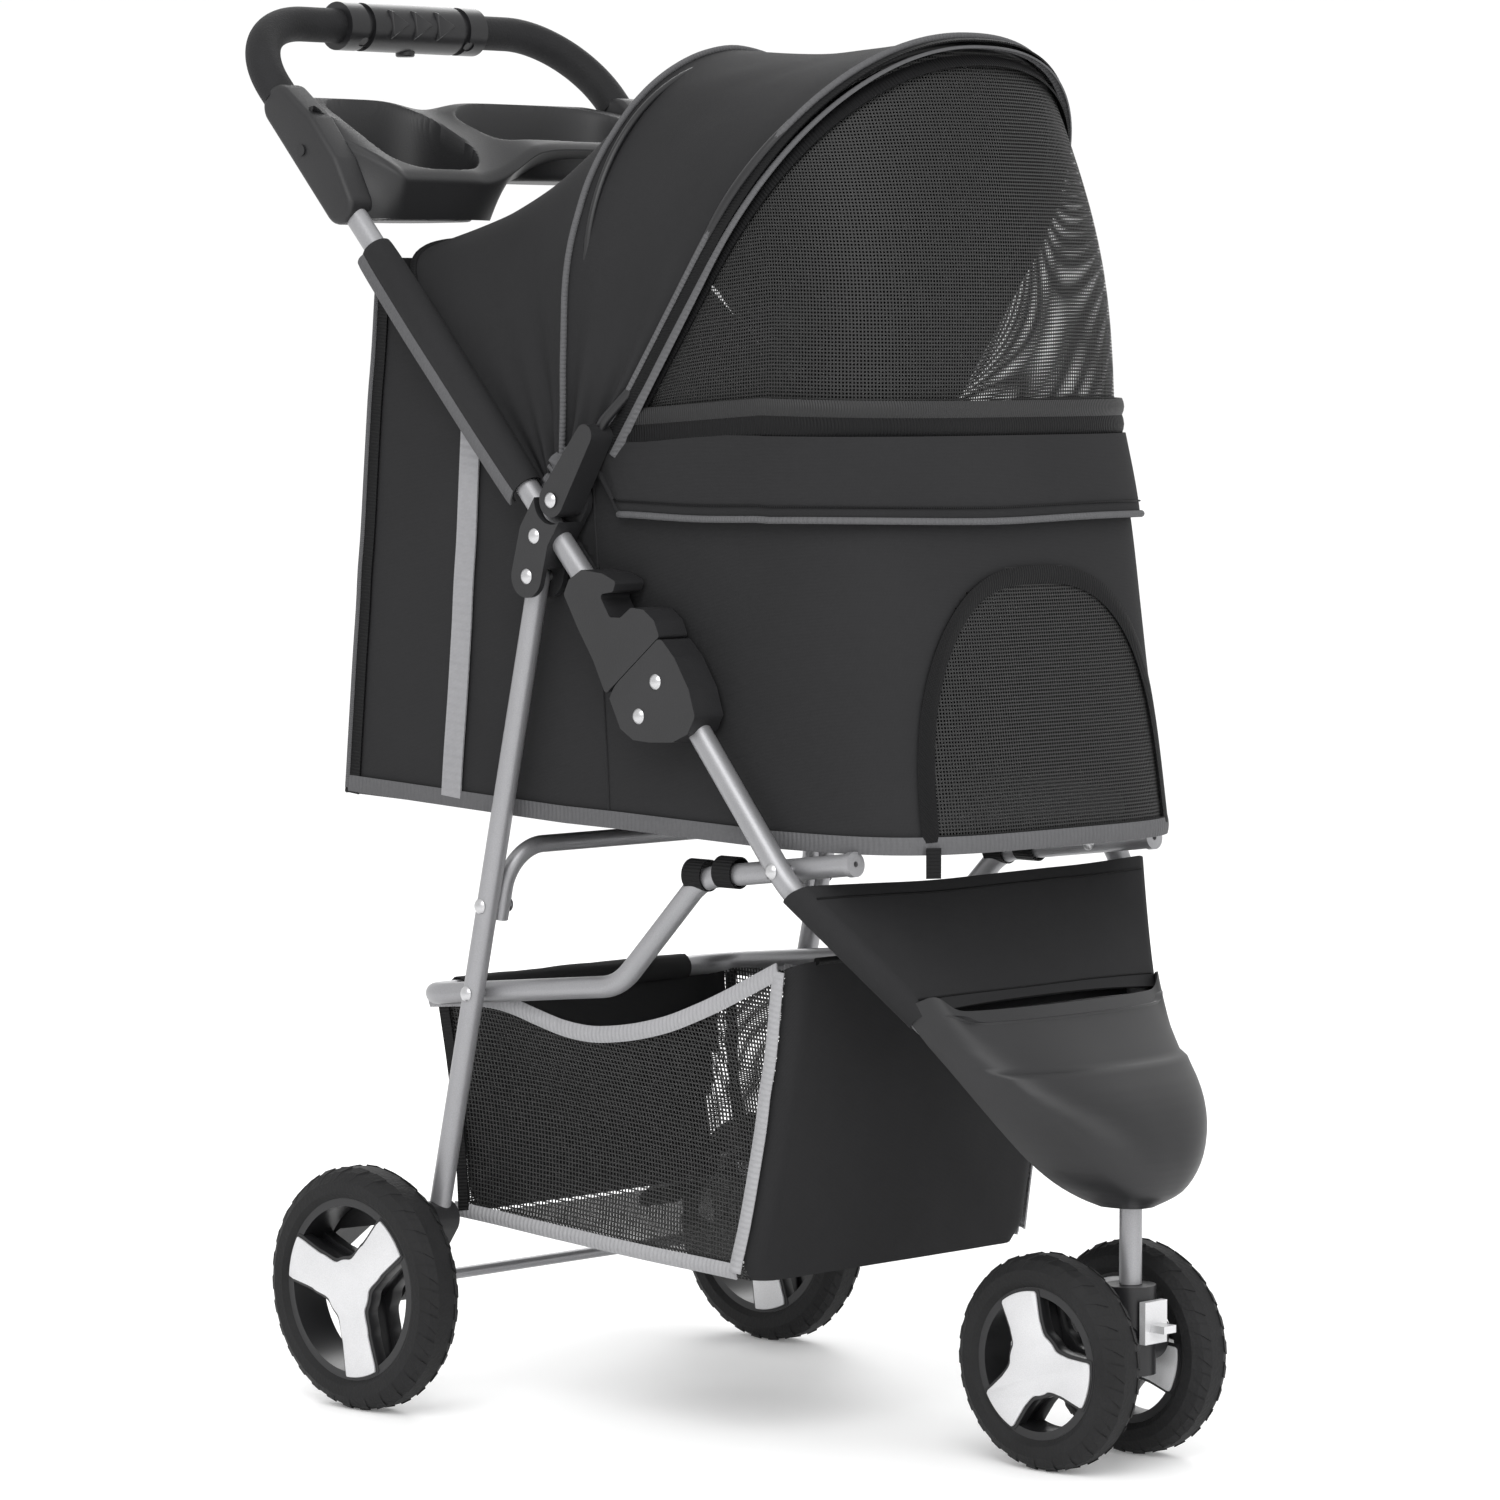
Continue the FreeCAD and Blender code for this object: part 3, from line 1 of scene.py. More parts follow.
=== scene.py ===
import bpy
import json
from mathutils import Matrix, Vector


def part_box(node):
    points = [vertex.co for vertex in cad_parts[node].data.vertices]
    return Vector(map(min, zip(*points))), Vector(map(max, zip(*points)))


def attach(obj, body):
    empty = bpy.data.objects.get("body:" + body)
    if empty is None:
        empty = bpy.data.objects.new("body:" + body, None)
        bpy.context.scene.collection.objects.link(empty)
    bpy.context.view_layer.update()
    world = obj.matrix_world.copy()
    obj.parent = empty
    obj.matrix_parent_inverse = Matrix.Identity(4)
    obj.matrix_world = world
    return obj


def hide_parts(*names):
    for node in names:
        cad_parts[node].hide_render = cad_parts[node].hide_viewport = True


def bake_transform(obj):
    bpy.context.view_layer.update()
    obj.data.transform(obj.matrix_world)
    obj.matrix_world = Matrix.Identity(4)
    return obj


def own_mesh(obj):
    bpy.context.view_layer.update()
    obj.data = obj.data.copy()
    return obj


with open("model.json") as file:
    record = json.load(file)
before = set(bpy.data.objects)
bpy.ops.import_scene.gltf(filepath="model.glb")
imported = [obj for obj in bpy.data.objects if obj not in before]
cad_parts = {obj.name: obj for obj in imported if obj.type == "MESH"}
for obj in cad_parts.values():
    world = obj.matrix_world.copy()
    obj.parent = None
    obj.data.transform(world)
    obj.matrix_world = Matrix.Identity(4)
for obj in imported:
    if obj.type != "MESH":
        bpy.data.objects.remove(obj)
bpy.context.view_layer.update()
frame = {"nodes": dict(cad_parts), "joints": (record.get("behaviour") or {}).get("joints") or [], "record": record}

"""A folding three-wheel pet stroller, dressed in cloth, mesh, moulded plastic and powder-coated tube."""

import json
import logging
import math
from dataclasses import dataclass, field
from enum import Enum
from typing import Callable, Optional, Sequence

import bmesh
import bpy
import numpy as np
from mathutils import Matrix, Vector

LOG = logging.getLogger("stroller")
Point = Callable[[float, float], Vector]


class Side(Enum):
    """The two sides of the stroller."""

    LEFT = -1.0
    RIGHT = 1.0


class Carrier(Enum):
    """What carries a piece of cloth on the folding frame."""

    CABIN = "cabin"
    CANOPY = "canopy"
    WINDOW = "window"
    BASKET = "basket"
    FRONT = "front"


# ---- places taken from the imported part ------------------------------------
JOINTS = {joint["name"]: joint for joint in frame["joints"]}


def joint_mount(name: str) -> Sequence[float]:
    """A mount's point in the row frame."""
    return next(mount["pos_m"] for mount in frame["record"]["mounts"] if mount["name"] == name)


def joint_place(name: str) -> Vector:
    """A joint's point in the row frame."""
    return Vector(JOINTS[name]["pos_m"])


HOOP_PIVOT = joint_place("canopy_fold")
TUBE_WAY = Vector(JOINTS["latch_left"]["axis"]).normalized()
TUBE_UP = Vector((0.0, -TUBE_WAY.z, TUBE_WAY.y))
TUBE_POINT = HOOP_PIVOT - TUBE_UP * 0.0209
SIDE_TUBE = 0.166


# ---- mesh helpers ---------------------------------------------------------
def clear_selection() -> None:
    """Deselects everything and leaves edit mode."""
    if bpy.context.object and bpy.context.object.mode != "OBJECT":
        bpy.ops.object.mode_set(mode="OBJECT")
    for obj in list(bpy.context.selected_objects):
        obj.select_set(False)


def activate(obj: bpy.types.Object) -> None:
    """Makes obj the only selected and the active object."""
    clear_selection()
    bpy.context.view_layer.objects.active = obj
    obj.select_set(True)


def apply_modifiers(obj: bpy.types.Object) -> bpy.types.Object:
    """Applies every modifier of obj in order."""
    activate(obj)
    for modifier in list(obj.modifiers):
        bpy.ops.object.modifier_apply(modifier=modifier.name)
    return obj


def thicken(obj: bpy.types.Object, thickness: float, offset: float = 0.0) -> None:
    """Gives a sheet its wall."""
    modifier = obj.modifiers.new("wall", "SOLIDIFY")
    modifier.thickness = thickness
    modifier.offset = offset
    modifier.use_even_offset = False
    apply_modifiers(obj)


def subdivide(obj: bpy.types.Object, levels: int = 1) -> None:
    """Rounds a mesh with a subdivision surface."""
    modifier = obj.modifiers.new("round", "SUBSURF")
    modifier.levels = levels
    modifier.render_levels = levels
    apply_modifiers(obj)


def smooth(obj: bpy.types.Object, angle: float = 40.0) -> bpy.types.Object:
    """Shades obj smooth except at sharp edges."""
    activate(obj)
    bpy.ops.object.shade_smooth_by_angle(angle=math.radians(angle))
    return obj


def merge(obj: bpy.types.Object, distance: float = 1e-5) -> None:
    """Merges doubled points and turns the faces outwards."""
    activate(obj)
    bpy.ops.object.mode_set(mode="EDIT")
    bpy.ops.mesh.select_all(action="SELECT")
    bpy.ops.mesh.remove_doubles(threshold=distance)
    bpy.ops.mesh.normals_make_consistent(inside=False)
    bpy.ops.object.mode_set(mode="OBJECT")


def join(objects: Sequence[bpy.types.Object], name: str) -> bpy.types.Object:
    """Joins meshes into one piece.

    Args:
        objects: the pieces to join.
        name: the joined piece's name.

    Returns:
        The joined piece.
    """
    activate(objects[0])
    for obj in objects:
        obj.select_set(True)
    if len(objects) > 1:
        bpy.ops.object.join()
    objects[0].name = name
    return objects[0]


def settle(obj: bpy.types.Object) -> bpy.types.Object:
    """Moves an object's place into its mesh, so the object sits at the origin."""
    activate(obj)
    bpy.ops.object.transform_apply(location=True, rotation=True, scale=True)
    return obj


def drawn_sheet(name: str, columns: int, rows: int, shape: Point, closed: bool = False) -> bpy.types.Object:
    """A grid drawn out over a shape, with UVs in metres of cloth.

    Args:
        name: the piece's name.
        columns: cells along u.
        rows: cells along v.
        shape: maps (u, v), each from 0 to 1, to a point.
        closed: True where u runs all the way round.

    Returns:
        The sheet, one face thick.
    """
    clear_selection()
    bpy.ops.mesh.primitive_grid_add(x_subdivisions=columns, y_subdivisions=rows, size=1.0, calc_uvs=True)
    obj = bpy.context.object
    obj.name = name
    mesh = obj.data
    flat = np.array([v.co for v in mesh.vertices])
    us = np.round((flat[:, 0] + 0.5) * columns).astype(int)
    vs = np.round((flat[:, 1] + 0.5) * rows).astype(int)
    table = np.zeros((columns + 1, rows + 1, 3))
    for i in range(columns + 1):
        for j in range(rows + 1):
            table[i, j] = shape(i / columns, j / rows)
    for vertex, i, j in zip(mesh.vertices, us, vs):
        vertex.co = table[i, j]
    along = np.zeros((columns + 1, rows + 1))
    along[1:] = np.cumsum(np.linalg.norm(np.diff(table, axis=0), axis=2), axis=0)
    along -= along[columns // 2][None, :]
    across = np.zeros((columns + 1, rows + 1))
    across[:, 1:] = np.cumsum(np.linalg.norm(np.diff(table, axis=1), axis=2), axis=1)
    layer = mesh.uv_layers.active.data
    for loop in mesh.loops:
        i, j = us[loop.vertex_index], vs[loop.vertex_index]
        layer[loop.index].uv = (along[i, j], across[i, j])
    if closed:
        activate(obj)
        bpy.ops.object.mode_set(mode="EDIT")
        bpy.ops.mesh.select_all(action="SELECT")
        bpy.ops.mesh.remove_doubles(threshold=1e-5)
        bpy.ops.object.mode_set(mode="OBJECT")
    mesh.update()
    return obj


def face_away(obj: bpy.types.Object, centre: Vector) -> bpy.types.Object:
    """Turns a sheet's faces away from a point."""
    total = sum((p.normal.dot(p.center - centre) * p.area for p in obj.data.polygons), 0.0)
    if total < 0:
        activate(obj)
        bpy.ops.object.mode_set(mode="EDIT")
        bpy.ops.mesh.select_all(action="SELECT")
        bpy.ops.mesh.flip_normals()
        bpy.ops.object.mode_set(mode="OBJECT")
    return obj


def delete_faces(obj: bpy.types.Object, wanted: Callable[[Vector], bool]) -> None:
    """Deletes the faces whose centres are not wanted."""
    activate(obj)
    bpy.ops.object.mode_set(mode="EDIT")
    bpy.ops.mesh.select_all(action="DESELECT")
    bpy.ops.object.mode_set(mode="OBJECT")
    for polygon in obj.data.polygons:
        polygon.select = not wanted(polygon.center)
    bpy.ops.object.mode_set(mode="EDIT")
    bpy.ops.mesh.delete(type="FACE")
    bpy.ops.object.mode_set(mode="OBJECT")


def copy_of(obj: bpy.types.Object, name: str) -> bpy.types.Object:
    """A copy of obj with its own mesh."""
    activate(obj)
    bpy.ops.object.duplicate(linked=False)
    twin = bpy.context.object
    twin.name = name
    return twin


def path_frame(
    path: Callable[[float], Vector], outward: Callable[[float], Vector], t: float
) -> tuple[Vector, Vector, Vector]:
    """The place, side and outward direction at t on a path over a surface."""
    step = 1e-3
    here = path(t)
    ahead = path(min(t + step, 1.0)) - path(max(t - step, 0.0))
    out = outward(t).normalized()
    side = out.cross(ahead).normalized()
    return here, side, ahead.normalized().cross(side)


def tape(
    name: str, path: Callable[[float], Vector], outward: Callable[[float], Vector],
    width: float, lift: float, cells: int = 80, thickness: float = 0.0012, crown: float = 0.0,
) -> bpy.types.Object:
    """A flat tape laid along a path, such as a binding, a zip or a webbing ribbon.

    Args:
        name: the piece's name.
        path: the tape's middle line, from t = 0 to 1.
        outward: the direction away from the cloth at t.
        width: the tape's width.
        lift: its height over the path.
        cells: cells along the tape.
        thickness: the tape's own thickness.
        crown: how much its middle stands up.

    Returns:
        The tape.
    """

    def shape(u: float, v: float) -> Vector:
        here, side, out = path_frame(path, outward, u)
        return here + side * (v - 0.5) * width + out * (lift + crown * math.sin(math.pi * v))

    obj = drawn_sheet(name, cells, 4, shape)
    here, _side, out = path_frame(path, outward, 0.5)
    middle = min(obj.data.polygons, key=lambda p: (p.center - here).length)
    if middle.normal.dot(out) < 0:
        activate(obj)
        bpy.ops.object.mode_set(mode="EDIT")
        bpy.ops.mesh.select_all(action="SELECT")
        bpy.ops.mesh.flip_normals()
        bpy.ops.object.mode_set(mode="OBJECT")
    thicken(obj, thickness, 0.0)
    return smooth(obj)


def rod(name: str, points: Sequence[Vector], radius: float, loop: bool = False) -> bpy.types.Object:
    """A round rod, cord or piping along points, with closed ends."""
    clear_selection()
    bpy.ops.curve.primitive_bezier_curve_add()
    obj = bpy.context.object
    obj.name = name
    curve = obj.data
    curve.splines.clear()
    spline = curve.splines.new("POLY")
    spline.points.add(len(points) - 1)
    for knot, place in zip(spline.points, points):
        knot.co = (*place, 1.0)
    spline.use_cyclic_u = loop
    curve.bevel_depth = radius
    curve.bevel_resolution = 3
    curve.use_fill_caps = not loop
    activate(obj)
    bpy.ops.object.convert(target="MESH")
    obj = bpy.context.object
    obj.name = name
    merge(obj)
    return smooth(obj)


def along(path: Callable[[float], Vector], count: int) -> list[Vector]:
    """Points evenly spaced in t on a path."""
    return [path(i / (count - 1)) for i in range(count)]


def squircle(half: float, depth: float, exponent: float, samples: int = 400) -> np.ndarray:
    """Half a superellipse as points (x, d), evenly spaced by length, from -x over the top to +x."""
    turn = np.linspace(math.pi, 0.0, samples)
    c, s = np.cos(turn), np.sin(turn)
    x = half * np.sign(c) * np.abs(c) ** (2 / exponent)
    d = depth * np.clip(s, 0, None) ** (2 / exponent)
    return np.stack([x, d], axis=1)


class Arch:
    """An arch of cloth in one plane: straight feet under a rounded top."""

    def __init__(
        self, base: Vector, way: Vector, half: float, top: float, foot: float, exponent: float, spring: float
    ):
        """Args: base and way set the plane, half, top and foot its size, spring where the top begins."""
        curve = squircle(half, top - spring, exponent)
        curve[:, 1] += spring
        feet = np.linspace(foot, spring, 60)[:-1]
        left = np.stack([np.full_like(feet, -half), feet], axis=1)
        right = left[::-1] * np.array([-1.0, 1.0])
        self.points = np.concatenate([left, curve, right])
        length = np.concatenate([[0.0], np.cumsum(np.linalg.norm(np.diff(self.points, axis=0), axis=1))])
        self.share = length / length[-1]
        self.length = float(length[-1])
        self.base = base
        self.way = way.normalized()

    def at(self, u: float) -> Vector:
        """The point at a share u of the arch's length."""
        x = float(np.interp(u, self.share, self.points[:, 0]))
        d = float(np.interp(u, self.share, self.points[:, 1]))
        return Vector((x, 0.0, 0.0)) + Vector((0.0, self.base.y, self.base.z)) + self.way * d


# ---- finishes -------------------------------------------------------------
class Graph:
    """A material's nodes, with short ways to add and link them."""

    def __init__(self, name: str):
        """Starts an empty material called name."""
        self.material = bpy.data.materials.new(name)
        self.material.use_nodes = True
        self.tree = self.material.node_tree
        self.shader = self.tree.nodes["Principled BSDF"]
        self.output = self.tree.nodes["Material Output"]

    def node(self, kind: str, **settings: object) -> bpy.types.Node:
        """Adds a node; settings with a known socket name set its value."""
        node = self.tree.nodes.new(kind)
        for key, value in settings.items():
            if hasattr(node, key):
                setattr(node, key, value)
        return node

    def link(self, start: bpy.types.NodeSocket, end: bpy.types.NodeSocket) -> None:
        """Links two sockets."""
        self.tree.links.new(start, end)

    def coordinates(self, metric_uv: bool) -> bpy.types.NodeSocket:
        """The piece's own UV in metres, or its place in the row frame."""
        return self.node("ShaderNodeTexCoord").outputs["UV" if metric_uv else "Object"]

    def noise(
        self, where: bpy.types.NodeSocket, scale: float, detail: float = 4.0, rough: float = 0.55
    ) -> bpy.types.NodeSocket:
        """Noise of a scale in cells per metre."""
        node = self.node("ShaderNodeTexNoise")
        node.inputs["Scale"].default_value = scale
        node.inputs["Detail"].default_value = detail
        node.inputs["Roughness"].default_value = rough
        self.link(where, node.inputs["Vector"])
        return node.outputs["Fac"]

    def maths(self, kind: str, *values: object) -> bpy.types.NodeSocket:
        """A maths node on sockets and numbers."""
        node = self.node("ShaderNodeMath", operation=kind)
        for socket, value in zip(node.inputs, values):
            if isinstance(value, (int, float)):
                socket.default_value = value
            else:
                self.link(value, socket)
        return node.outputs[0]

    def ramp(
        self, value: bpy.types.NodeSocket, stops: Sequence[tuple[float, tuple[float, float, float]]]
    ) -> bpy.types.NodeSocket:
        """A colour ramp through stops of (place, colour)."""
        node = self.node("ShaderNodeValToRGB")
        elements = node.color_ramp.elements
        while len(elements) < len(stops):
            elements.new(0.5)
        for element, (place, colour) in zip(elements, stops):
            element.position = place
            element.color = (*colour, 1.0)
        self.link(value, node.inputs["Fac"])
        return node.outputs["Color"]

    def levels(
        self, value: bpy.types.NodeSocket, low: float, high: float, start: float = 0.0, end: float = 1.0
    ) -> bpy.types.NodeSocket:
        """Maps start..end to low..high."""
        node = self.node("ShaderNodeMapRange")
        for socket, number in zip(list(node.inputs)[1:5], (start, end, low, high)):
            socket.default_value = number
        self.link(value, node.inputs[0])
        return node.outputs[0]

    def bump(self, height: bpy.types.NodeSocket, strength: float, distance: float) -> None:
        """Adds a bump to the shader."""
        node = self.node("ShaderNodeBump")
        node.inputs["Strength"].default_value = strength
        node.inputs["Distance"].default_value = distance
        self.link(height, node.inputs["Height"])
        earlier = self.shader.inputs["Normal"].links
        if earlier:
            self.link(earlier[0].from_socket, node.inputs["Normal"])
        self.link(node.outputs["Normal"], self.shader.inputs["Normal"])

    def threads(self, where: bpy.types.NodeSocket, per_metre: float, axis: int) -> bpy.types.NodeSocket:
        """Even ribs, 0 to 1, across one axis of the coordinates."""
        split = self.node("ShaderNodeSeparateXYZ")
        self.link(where, split.inputs[0])
        wave = self.maths("SINE", self.maths("MULTIPLY", split.outputs[axis], per_metre * 2 * math.pi))
        return self.levels(wave, 0.0, 1.0, -1.0, 1.0)


@dataclass(frozen=True)
class Cloth:
    """Woven polyester: plain weave, soft sheen and faint shade from handling."""

    name: str
    colour: tuple[float, float, float]
    weave: float = 1100.0
    contrast: float = 0.30
    rough: float = 0.82
    ribs: float = 0.0

    def make(self) -> bpy.types.Material:
        """Builds the material on metric UVs."""
        g = Graph(self.name)
        uv = g.coordinates(True)
        place = g.coordinates(False)
        warp = g.threads(uv, self.weave, 0)
        weft = g.threads(uv, self.weave, 1)
        grain = g.maths("MULTIPLY", warp, weft)
        slub = g.noise(place, 240.0, 6.0, 0.7)
        shade = g.noise(place, 9.0, 3.0)
        mixed = g.maths("ADD", g.maths("MULTIPLY", grain, 0.45), g.maths("MULTIPLY", slub, 0.55))
        mixed = g.maths("ADD", g.maths("MULTIPLY", mixed, 0.7), g.maths("MULTIPLY", shade, 0.3))
        dark = tuple(c * (1 - self.contrast) for c in self.colour)
        light = tuple(min(1.0, c * (1 + self.contrast)) for c in self.colour)
        g.link(g.ramp(mixed, [(0.2, dark), (0.8, light)]), g.shader.inputs["Base Color"])
        g.link(g.levels(slub, self.rough - 0.08, self.rough + 0.08), g.shader.inputs["Roughness"])
        g.shader.inputs["Specular IOR Level"].default_value = 0.18
        g.bump(grain, 0.35, 0.0003)
        g.bump(g.noise(place, 30.0, 3.0), 0.25, 0.002)
        if self.ribs:
            g.bump(g.threads(uv, self.ribs, 0), 0.7, 0.0006)
        return g.material


@dataclass(frozen=True)
class Net:
    """Knitted mesh: square holes between dark threads."""

    name: str
    colour: tuple[float, float, float]
    holes: float = 420.0
    thread: float = 0.42
    edge: float = 5.0

    def make(self) -> bpy.types.Material:
        """Builds the see-through material on metric UVs."""
        g = Graph(self.name)
        uv = g.coordinates(True)
        place = g.coordinates(False)
        sides = []
        for axis in (0, 1):
            ribs = g.threads(uv, self.holes, axis)
            side = g.maths("MULTIPLY", g.maths("SUBTRACT", ribs, self.thread), self.edge)
            side.node.use_clamp = True
            sides.append(side)
        hole = g.maths("MULTIPLY", sides[0], sides[1])
        solid = g.maths("SUBTRACT", 1.0, hole)
        solid.node.use_clamp = True
        g.link(solid, g.shader.inputs["Alpha"])
        tone = g.noise(place, 120.0, 4.0)
        dark = tuple(c * 0.6 for c in self.colour)
        light = tuple(c * 1.5 for c in self.colour)
        g.link(g.ramp(tone, [(0.3, dark), (0.7, light)]), g.shader.inputs["Base Color"])
        g.link(g.levels(tone, 0.55, 0.75), g.shader.inputs["Roughness"])
        g.bump(g.threads(uv, self.holes, 0), 0.4, 0.0004)
        return g.material


@dataclass(frozen=True)
class Coat:
    """Powder coat on tube: fine orange peel and a soft metallic speckle."""

    name: str
    colour: tuple[float, float, float]
    metallic: float = 0.55
    rough: float = 0.38

    def make(self) -> bpy.types.Material:
        """Builds the material on object coordinates."""
        g = Graph(self.name)
        place = g.coordinates(False)
        speck = g.noise(place, 1500.0, 2.0)
        cloud = g.noise(place, 14.0, 4.0)
        mixed = g.maths("ADD", g.maths("MULTIPLY", speck, 0.6), g.maths("MULTIPLY", cloud, 0.4))
        dark = tuple(c * 0.86 for c in self.colour)
        light = tuple(min(1.0, c * 1.12) for c in self.colour)
        g.link(g.ramp(mixed, [(0.3, dark), (0.7, light)]), g.shader.inputs["Base Color"])
        g.link(g.levels(cloud, self.rough - 0.07, self.rough + 0.1), g.shader.inputs["Roughness"])
        g.shader.inputs["Metallic"].default_value = self.metallic
        g.bump(g.noise(place, 700.0, 2.0), 0.12, 0.0004)
        return g.material


@dataclass(frozen=True)
class Moulding:
    """Moulded plastic: spark-eroded grain, paler where it has been rubbed."""

    name: str
    colour: tuple[float, float, float]
    grain: float = 900.0
    rough: float = 0.5
    depth: float = 0.3

    def make(self) -> bpy.types.Material:
        """Builds the material on object coordinates."""
        g = Graph(self.name)
        place = g.coordinates(False)
        fine = g.noise(place, self.grain, 3.0, 0.6)
        wide = g.noise(place, 11.0, 4.0)
        mixed = g.maths("ADD", g.maths("MULTIPLY", fine, 0.35), g.maths("MULTIPLY", wide, 0.65))
        dark = tuple(c * 0.8 for c in self.colour)
        light = tuple(min(1.0, c * 1.3) for c in self.colour)
        g.link(g.ramp(mixed, [(0.35, dark), (0.7, light)]), g.shader.inputs["Base Color"])
        g.link(g.levels(mixed, self.rough - 0.1, self.rough + 0.12), g.shader.inputs["Roughness"])
        g.shader.inputs["Specular IOR Level"].default_value = 0.4
        g.bump(fine, self.depth, 0.0004)
        return g.material


@dataclass(frozen=True)
class Foam:
    """Closed-cell foam: small soft pits and scuffs."""

    name: str
    colour: tuple[float, float, float]
    cells: float = 650.0

    def make(self) -> bpy.types.Material:
        """Builds the material on object coordinates."""
        g = Graph(self.name)
        place = g.coordinates(False)
        pits = g.node("ShaderNodeTexVoronoi")
        pits.inputs["Scale"].default_value = self.cells
        g.link(place, pits.inputs["Vector"])
        cloud = g.noise(place, 25.0, 5.0)
        dark = tuple(c * 0.7 for c in self.colour)
        light = tuple(c * 1.5 for c in self.colour)
        g.link(g.ramp(cloud, [(0.35, dark), (0.75, light)]), g.shader.inputs["Base Color"])
        g.link(g.levels(cloud, 0.62, 0.85), g.shader.inputs["Roughness"])
        g.shader.inputs["Specular IOR Level"].default_value = 0.3
        g.bump(pits.outputs["Distance"], 0.45, 0.0006)
        return g.material


@dataclass(frozen=True)
class Steel:
    """Plain drawn steel with fine scratches."""

    name: str
    colour: tuple[float, float, float]
    rough: float = 0.3

    def make(self) -> bpy.types.Material:
        """Builds the material on object coordinates."""
        g = Graph(self.name)
        place = g.coordinates(False)
        stretch = g.node("ShaderNodeMapping")
        stretch.inputs["Scale"].default_value = (0.06, 1.0, 1.0)
        g.link(place, stretch.inputs["Vector"])
        lines = g.noise(stretch.outputs["Vector"], 2600.0, 3.0)
        dark = tuple(c * 0.8 for c in self.colour)
        g.link(g.ramp(lines, [(0.3, dark), (0.7, self.colour)]), g.shader.inputs["Base Color"])
        g.link(g.levels(lines, self.rough - 0.08, self.rough + 0.14), g.shader.inputs["Roughness"])
        g.shader.inputs["Metallic"].default_value = 1.0
        g.bump(lines, 0.15, 0.0002)
        return g.material


@dataclass(frozen=True)
class Zip:
    """A coil zip: black tape with a row of small teeth along its middle."""

    name: str
    colour: tuple[float, float, float]
    teeth: float = 420.0

    def make(self) -> bpy.types.Material:
        """Builds the material on metric UVs."""
        g = Graph(self.name)
        uv = g.coordinates(True)
        place = g.coordinates(False)
        row = g.threads(uv, self.teeth, 0)
        tone = g.noise(place, 300.0, 4.0)
        dark = tuple(c * 0.6 for c in self.colour)
        light = tuple(c * 2.2 for c in self.colour)
        g.link(
            g.ramp(g.maths("MULTIPLY", row, tone), [(0.1, dark), (0.7, light)]), g.shader.inputs["Base Color"]
        )
        g.link(g.levels(tone, 0.45, 0.65), g.shader.inputs["Roughness"])
        g.bump(row, 0.6, 0.0006)
        return g.material


class Finishes:
    """Every finish on the stroller, made once."""

    def __init__(self) -> None:
        """Makes the materials."""
        self.canvas = Cloth("charcoal_canvas", (0.019, 0.019, 0.020)).make()
        self.lining = Cloth("black_lining", (0.007, 0.007, 0.008), contrast=0.2).make()
        self.pad = Cloth("pad_cloth", (0.03, 0.03, 0.032), weave=600.0).make()
        self.piping = Cloth("grey_binding", (0.10, 0.10, 0.104), ribs=260.0, contrast=0.2).make()
        self.silver_binding = Cloth("silver_binding", (0.33, 0.33, 0.34), ribs=260.0, contrast=0.15).make()
        self.webbing = Cloth("silver_webbing", (0.27, 0.27, 0.28), ribs=170.0, contrast=0.2, rough=0.6).make()
        self.black_binding = Cloth("black_binding", (0.0035, 0.0035, 0.004), ribs=420.0, rough=0.6).make()
        self.zip = Zip("coil_zip", (0.003, 0.003, 0.0035), teeth=520.0).make()
        self.net = Net("black_net", (0.006, 0.006, 0.006), thread=0.30).make()
        self.basket_net = Net("basket_net", (0.010, 0.010, 0.010), holes=330.0, thread=0.14).make()
        self.coat = Coat("silver_powder_coat", (0.29, 0.29, 0.30)).make()
        self.plastic = Moulding("black_plastic", (0.014, 0.014, 0.015)).make()
        self.smooth_plastic = Moulding(
            "smooth_plastic", (0.011, 0.011, 0.012), grain=1600.0, rough=0.36, depth=0.12
        ).make()
        self.cover = Moulding(
            "cover_plastic", (0.012, 0.012, 0.013), grain=1100.0, rough=0.42, depth=0.2
        ).make()
        self.foam = Foam("grip_foam", (0.010, 0.010, 0.011)).make()
        self.tyre = Foam("tyre_foam", (0.009, 0.009, 0.0095), cells=420.0).make()
        self.steel = Steel("rivet_steel", (0.58, 0.58, 0.59)).make()
        self.plate = Coat("wheel_silver", (0.62, 0.62, 0.63), metallic=0.35, rough=0.33).make()

    @staticmethod
    def dress(obj: bpy.types.Object, *materials: bpy.types.Material) -> bpy.types.Object:
        """Gives obj these materials, the first one on slot 0."""
        obj.data.materials.clear()
        for material in materials:
            obj.data.materials.append(material)
        return obj


# ---- how cloth follows the fold -------------------------------------------
@dataclass(frozen=True)
class Cut:
    """A sheet's width before it was sewn, how it is held and what holds it."""

    wide: float
    held: str
    rests_on: tuple[str, ...]


CUTS = {
    "cabin_wall": Cut(0.240, "stretched", ("handle_tube",)),
    "door_net": Cut(0.150, "stretched", ("handle_tube",)),
    "rear_panel": Cut(0.300, "stretched", ("handle_tube",)),
    "window_flap": Cut(0.055, "folded", ("handle_tube",)),
    "basket_bag": Cut(0.220, "hung", ("s_bar",)),
    "basket_floor": Cut(0.300, "hung", ("s_bar",)),
    "basket_bar_sleeve": Cut(0.048, "folded", ("s_bar",)),
    "front_cloth": Cut(0.300, "stretched", ("front_tube_left", "front_tube_right")),
    "canopy_sleeve_left": Cut(0.040, "folded", ("handle_tube",)),
    "canopy_sleeve_right": Cut(0.040, "folded", ("handle_tube",)),
}


